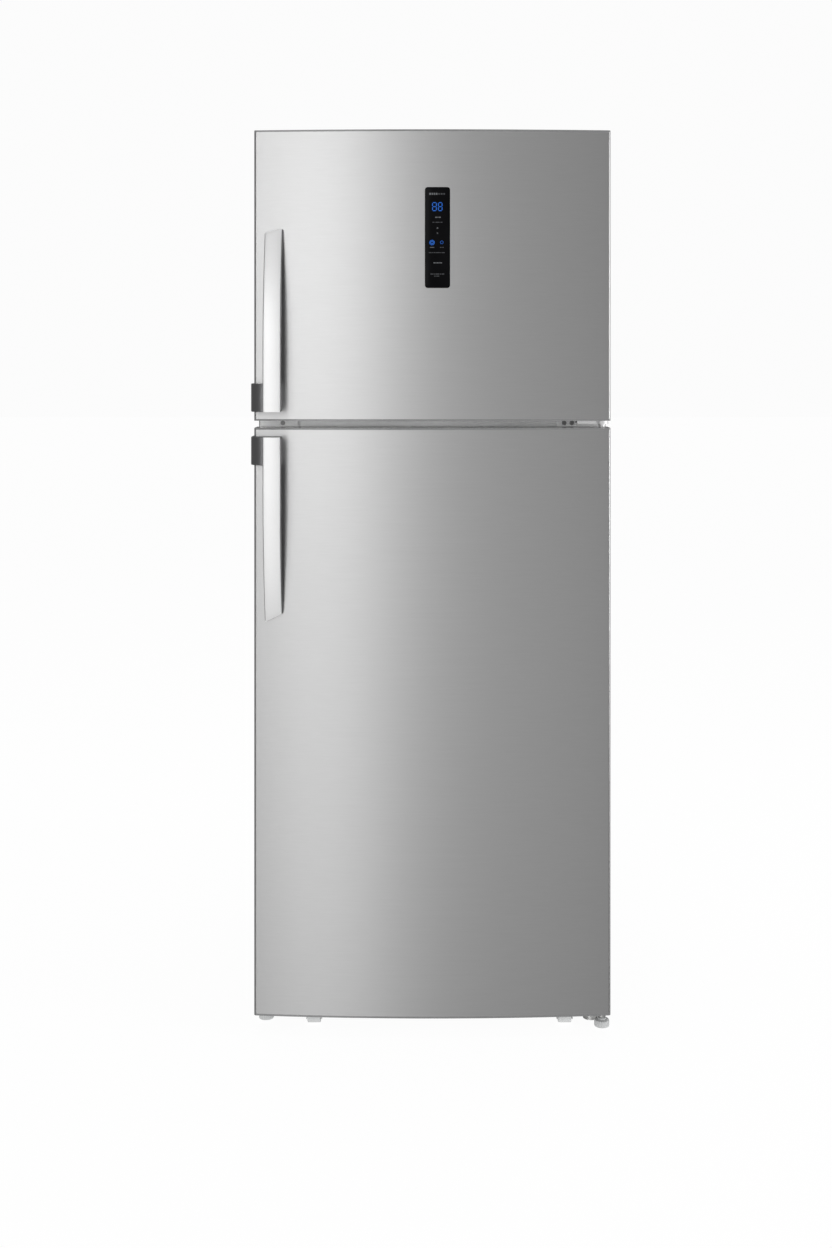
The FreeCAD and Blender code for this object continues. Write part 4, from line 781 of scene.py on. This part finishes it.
for node, width in {
    "cabinet_wrapper": 0.0006, "centre_rail": 0.0008, "hinge_hole_cover": 0.0012,
    "top_hinge_cover": 0.0022,
    "middle_hinge": 0.0007, "bottom_hinge": 0.0007, "top_hinge": 0.0006, "base_brackets": 0.0006,
    "base_pan": 0.0008, "back_panel": 0.0006, "freezer_door_end_caps": 0.0008,
    "fridge_door_end_caps": 0.0008, "glass_shelves": 0.0008, "shelf_trims": 0.001,
    "crisper_drawer_left": 0.0009, "crisper_drawer_right": 0.0009, "fridge_door_bins": 0.0009,
    "freezer_door_bin": 0.0009, "ice_box": 0.0008, "drain_pan": 0.0008, "evaporator_cover": 0.0012,
    "air_duct": 0.002, "power_inlet": 0.001, "compressor": 0.0015, "ice_tray_frame": 0.001,
    "freezer_liner": 0.0015, "fridge_liner": 0.0015, "freezer_door_liner": 0.0015,
    "fridge_door_liner": 0.0015,
    "lamp": 0.0012, "humidity_slider": 0.0006, "temperature_knob": 0.0008, "dairy_cover": 0.0006,
    "freezer_door_gasket": 0.0009, "fridge_door_gasket": 0.0009,
}.items():
    bevel(NODES[node], width, 2, 50)

# ---------------------------------------------------------------- floor, backdrop, light and camera


def studio():
    """A plain white floor that lights itself, so the object stands on it without a dark edge."""
    mesh = bpy.data.meshes.new("studio_floor")
    reach, level = 30.0, -0.0005
    corners = [(-reach, -reach), (reach, -reach), (reach, reach), (-reach, reach)]
    mesh.from_pydata([(x, y, level) for x, y in corners], [], [(0, 1, 2, 3)])
    floor = bpy.data.objects.new("studio_floor", mesh)
    bpy.context.scene.collection.objects.link(floor)
    floor.visible_glossy = False
    floor.visible_shadow = False
    paper = Surface(
        "studio_paper", (0.05, 0.05, 0.05), 0.9, Emission_Color=(1, 1, 1, 1), Emission_Strength=0.955)
    paper.tint(paper.noise(3, 2), 0.01)
    mesh.materials.append(paper.material)


def softbox(name, azimuth, low, high, wide, radiance, distance=5.0):
    """An upright panel of light that faces the object; azimuth is in degrees from the camera's side."""
    lamp = bpy.data.lights.new(name, "AREA")
    lamp.shape = "RECTANGLE"
    lamp.size, lamp.size_y = wide, high - low
    lamp.energy = math.pi * wide * (high - low) * radiance
    turn = math.radians(azimuth)
    thing = bpy.data.objects.new(name, lamp)
    thing.location = (distance * math.sin(turn), -0.3 - distance * math.cos(turn), (low + high) / 2)
    thing.rotation_euler = (math.radians(90), 0, turn)
    thing.visible_camera = False
    bpy.context.scene.collection.objects.link(thing)
    return thing


studio()
# name, azimuth, lowest, highest, width, radiance
for light in (
        ("key_high", -13, 0.9, 3.6, 1.07, 2.18),
        ("key_low", -13, -2.8, 0.9, 1.07, 1.38),
        ("fill_high", 8.5, 0.9, 3.6, 2.75, 0.19),
        ("fill_low", 8.5, -2.8, 0.9, 2.75, 0.25),
        ("edge_high", -26, 0.9, 3.6, 0.36, 3.17),
        ("edge_low", -32, -2.8, 0.9, 0.36, 1.87),
        ("key_top", -13, 4.3, 6.8, 1.07, 1.3),
        ("rim_right", 70, 0.0, 2.6, 2.0, 4.0)):
    softbox(*light)
overhead = softbox("overhead", 0, 0, 3.0, 3.0, 2.0)
overhead.location = (0, 0.2, 4.5)
overhead.rotation_euler = (0, 0, 0)

# The object is lit by a dim even world; behind it the camera sees a white one.
world = bpy.data.worlds.new("studio_world")
world.use_nodes = True
tree = world.node_tree
background = tree.nodes["Background"]
background.inputs["Strength"].default_value = 0.21
backdrop = tree.nodes.new("ShaderNodeBackground")
backdrop.inputs["Strength"].default_value = 0.972
sight = tree.nodes.new("ShaderNodeLightPath")
choice = tree.nodes.new("ShaderNodeMixShader")
tree.links.new(sight.outputs["Is Camera Ray"], choice.inputs["Fac"])
tree.links.new(background.outputs["Background"], choice.inputs[1])
tree.links.new(backdrop.outputs["Background"], choice.inputs[2])
tree.links.new(choice.outputs["Shader"], tree.nodes["World Output"].inputs["Surface"])
for shade in (background, backdrop):
    shade.inputs["Color"].default_value = (1, 1, 1, 1)
bpy.context.scene.world = world
bpy.context.scene.view_settings.view_transform = "Standard"

# A level camera at chest height; the picture is shifted down instead of tilted, so uprights stay upright.
camera_data = bpy.data.cameras.new("camera")
camera_data.lens = 44.1
camera_data.shift_x = -0.0131
camera_data.shift_y = -0.2147
camera = bpy.data.objects.new("camera", camera_data)
camera.location = (0.0, -3.314, 1.332)
camera.rotation_euler = (math.radians(90), 0, 0)
bpy.context.scene.collection.objects.link(camera)
bpy.context.scene.camera = camera
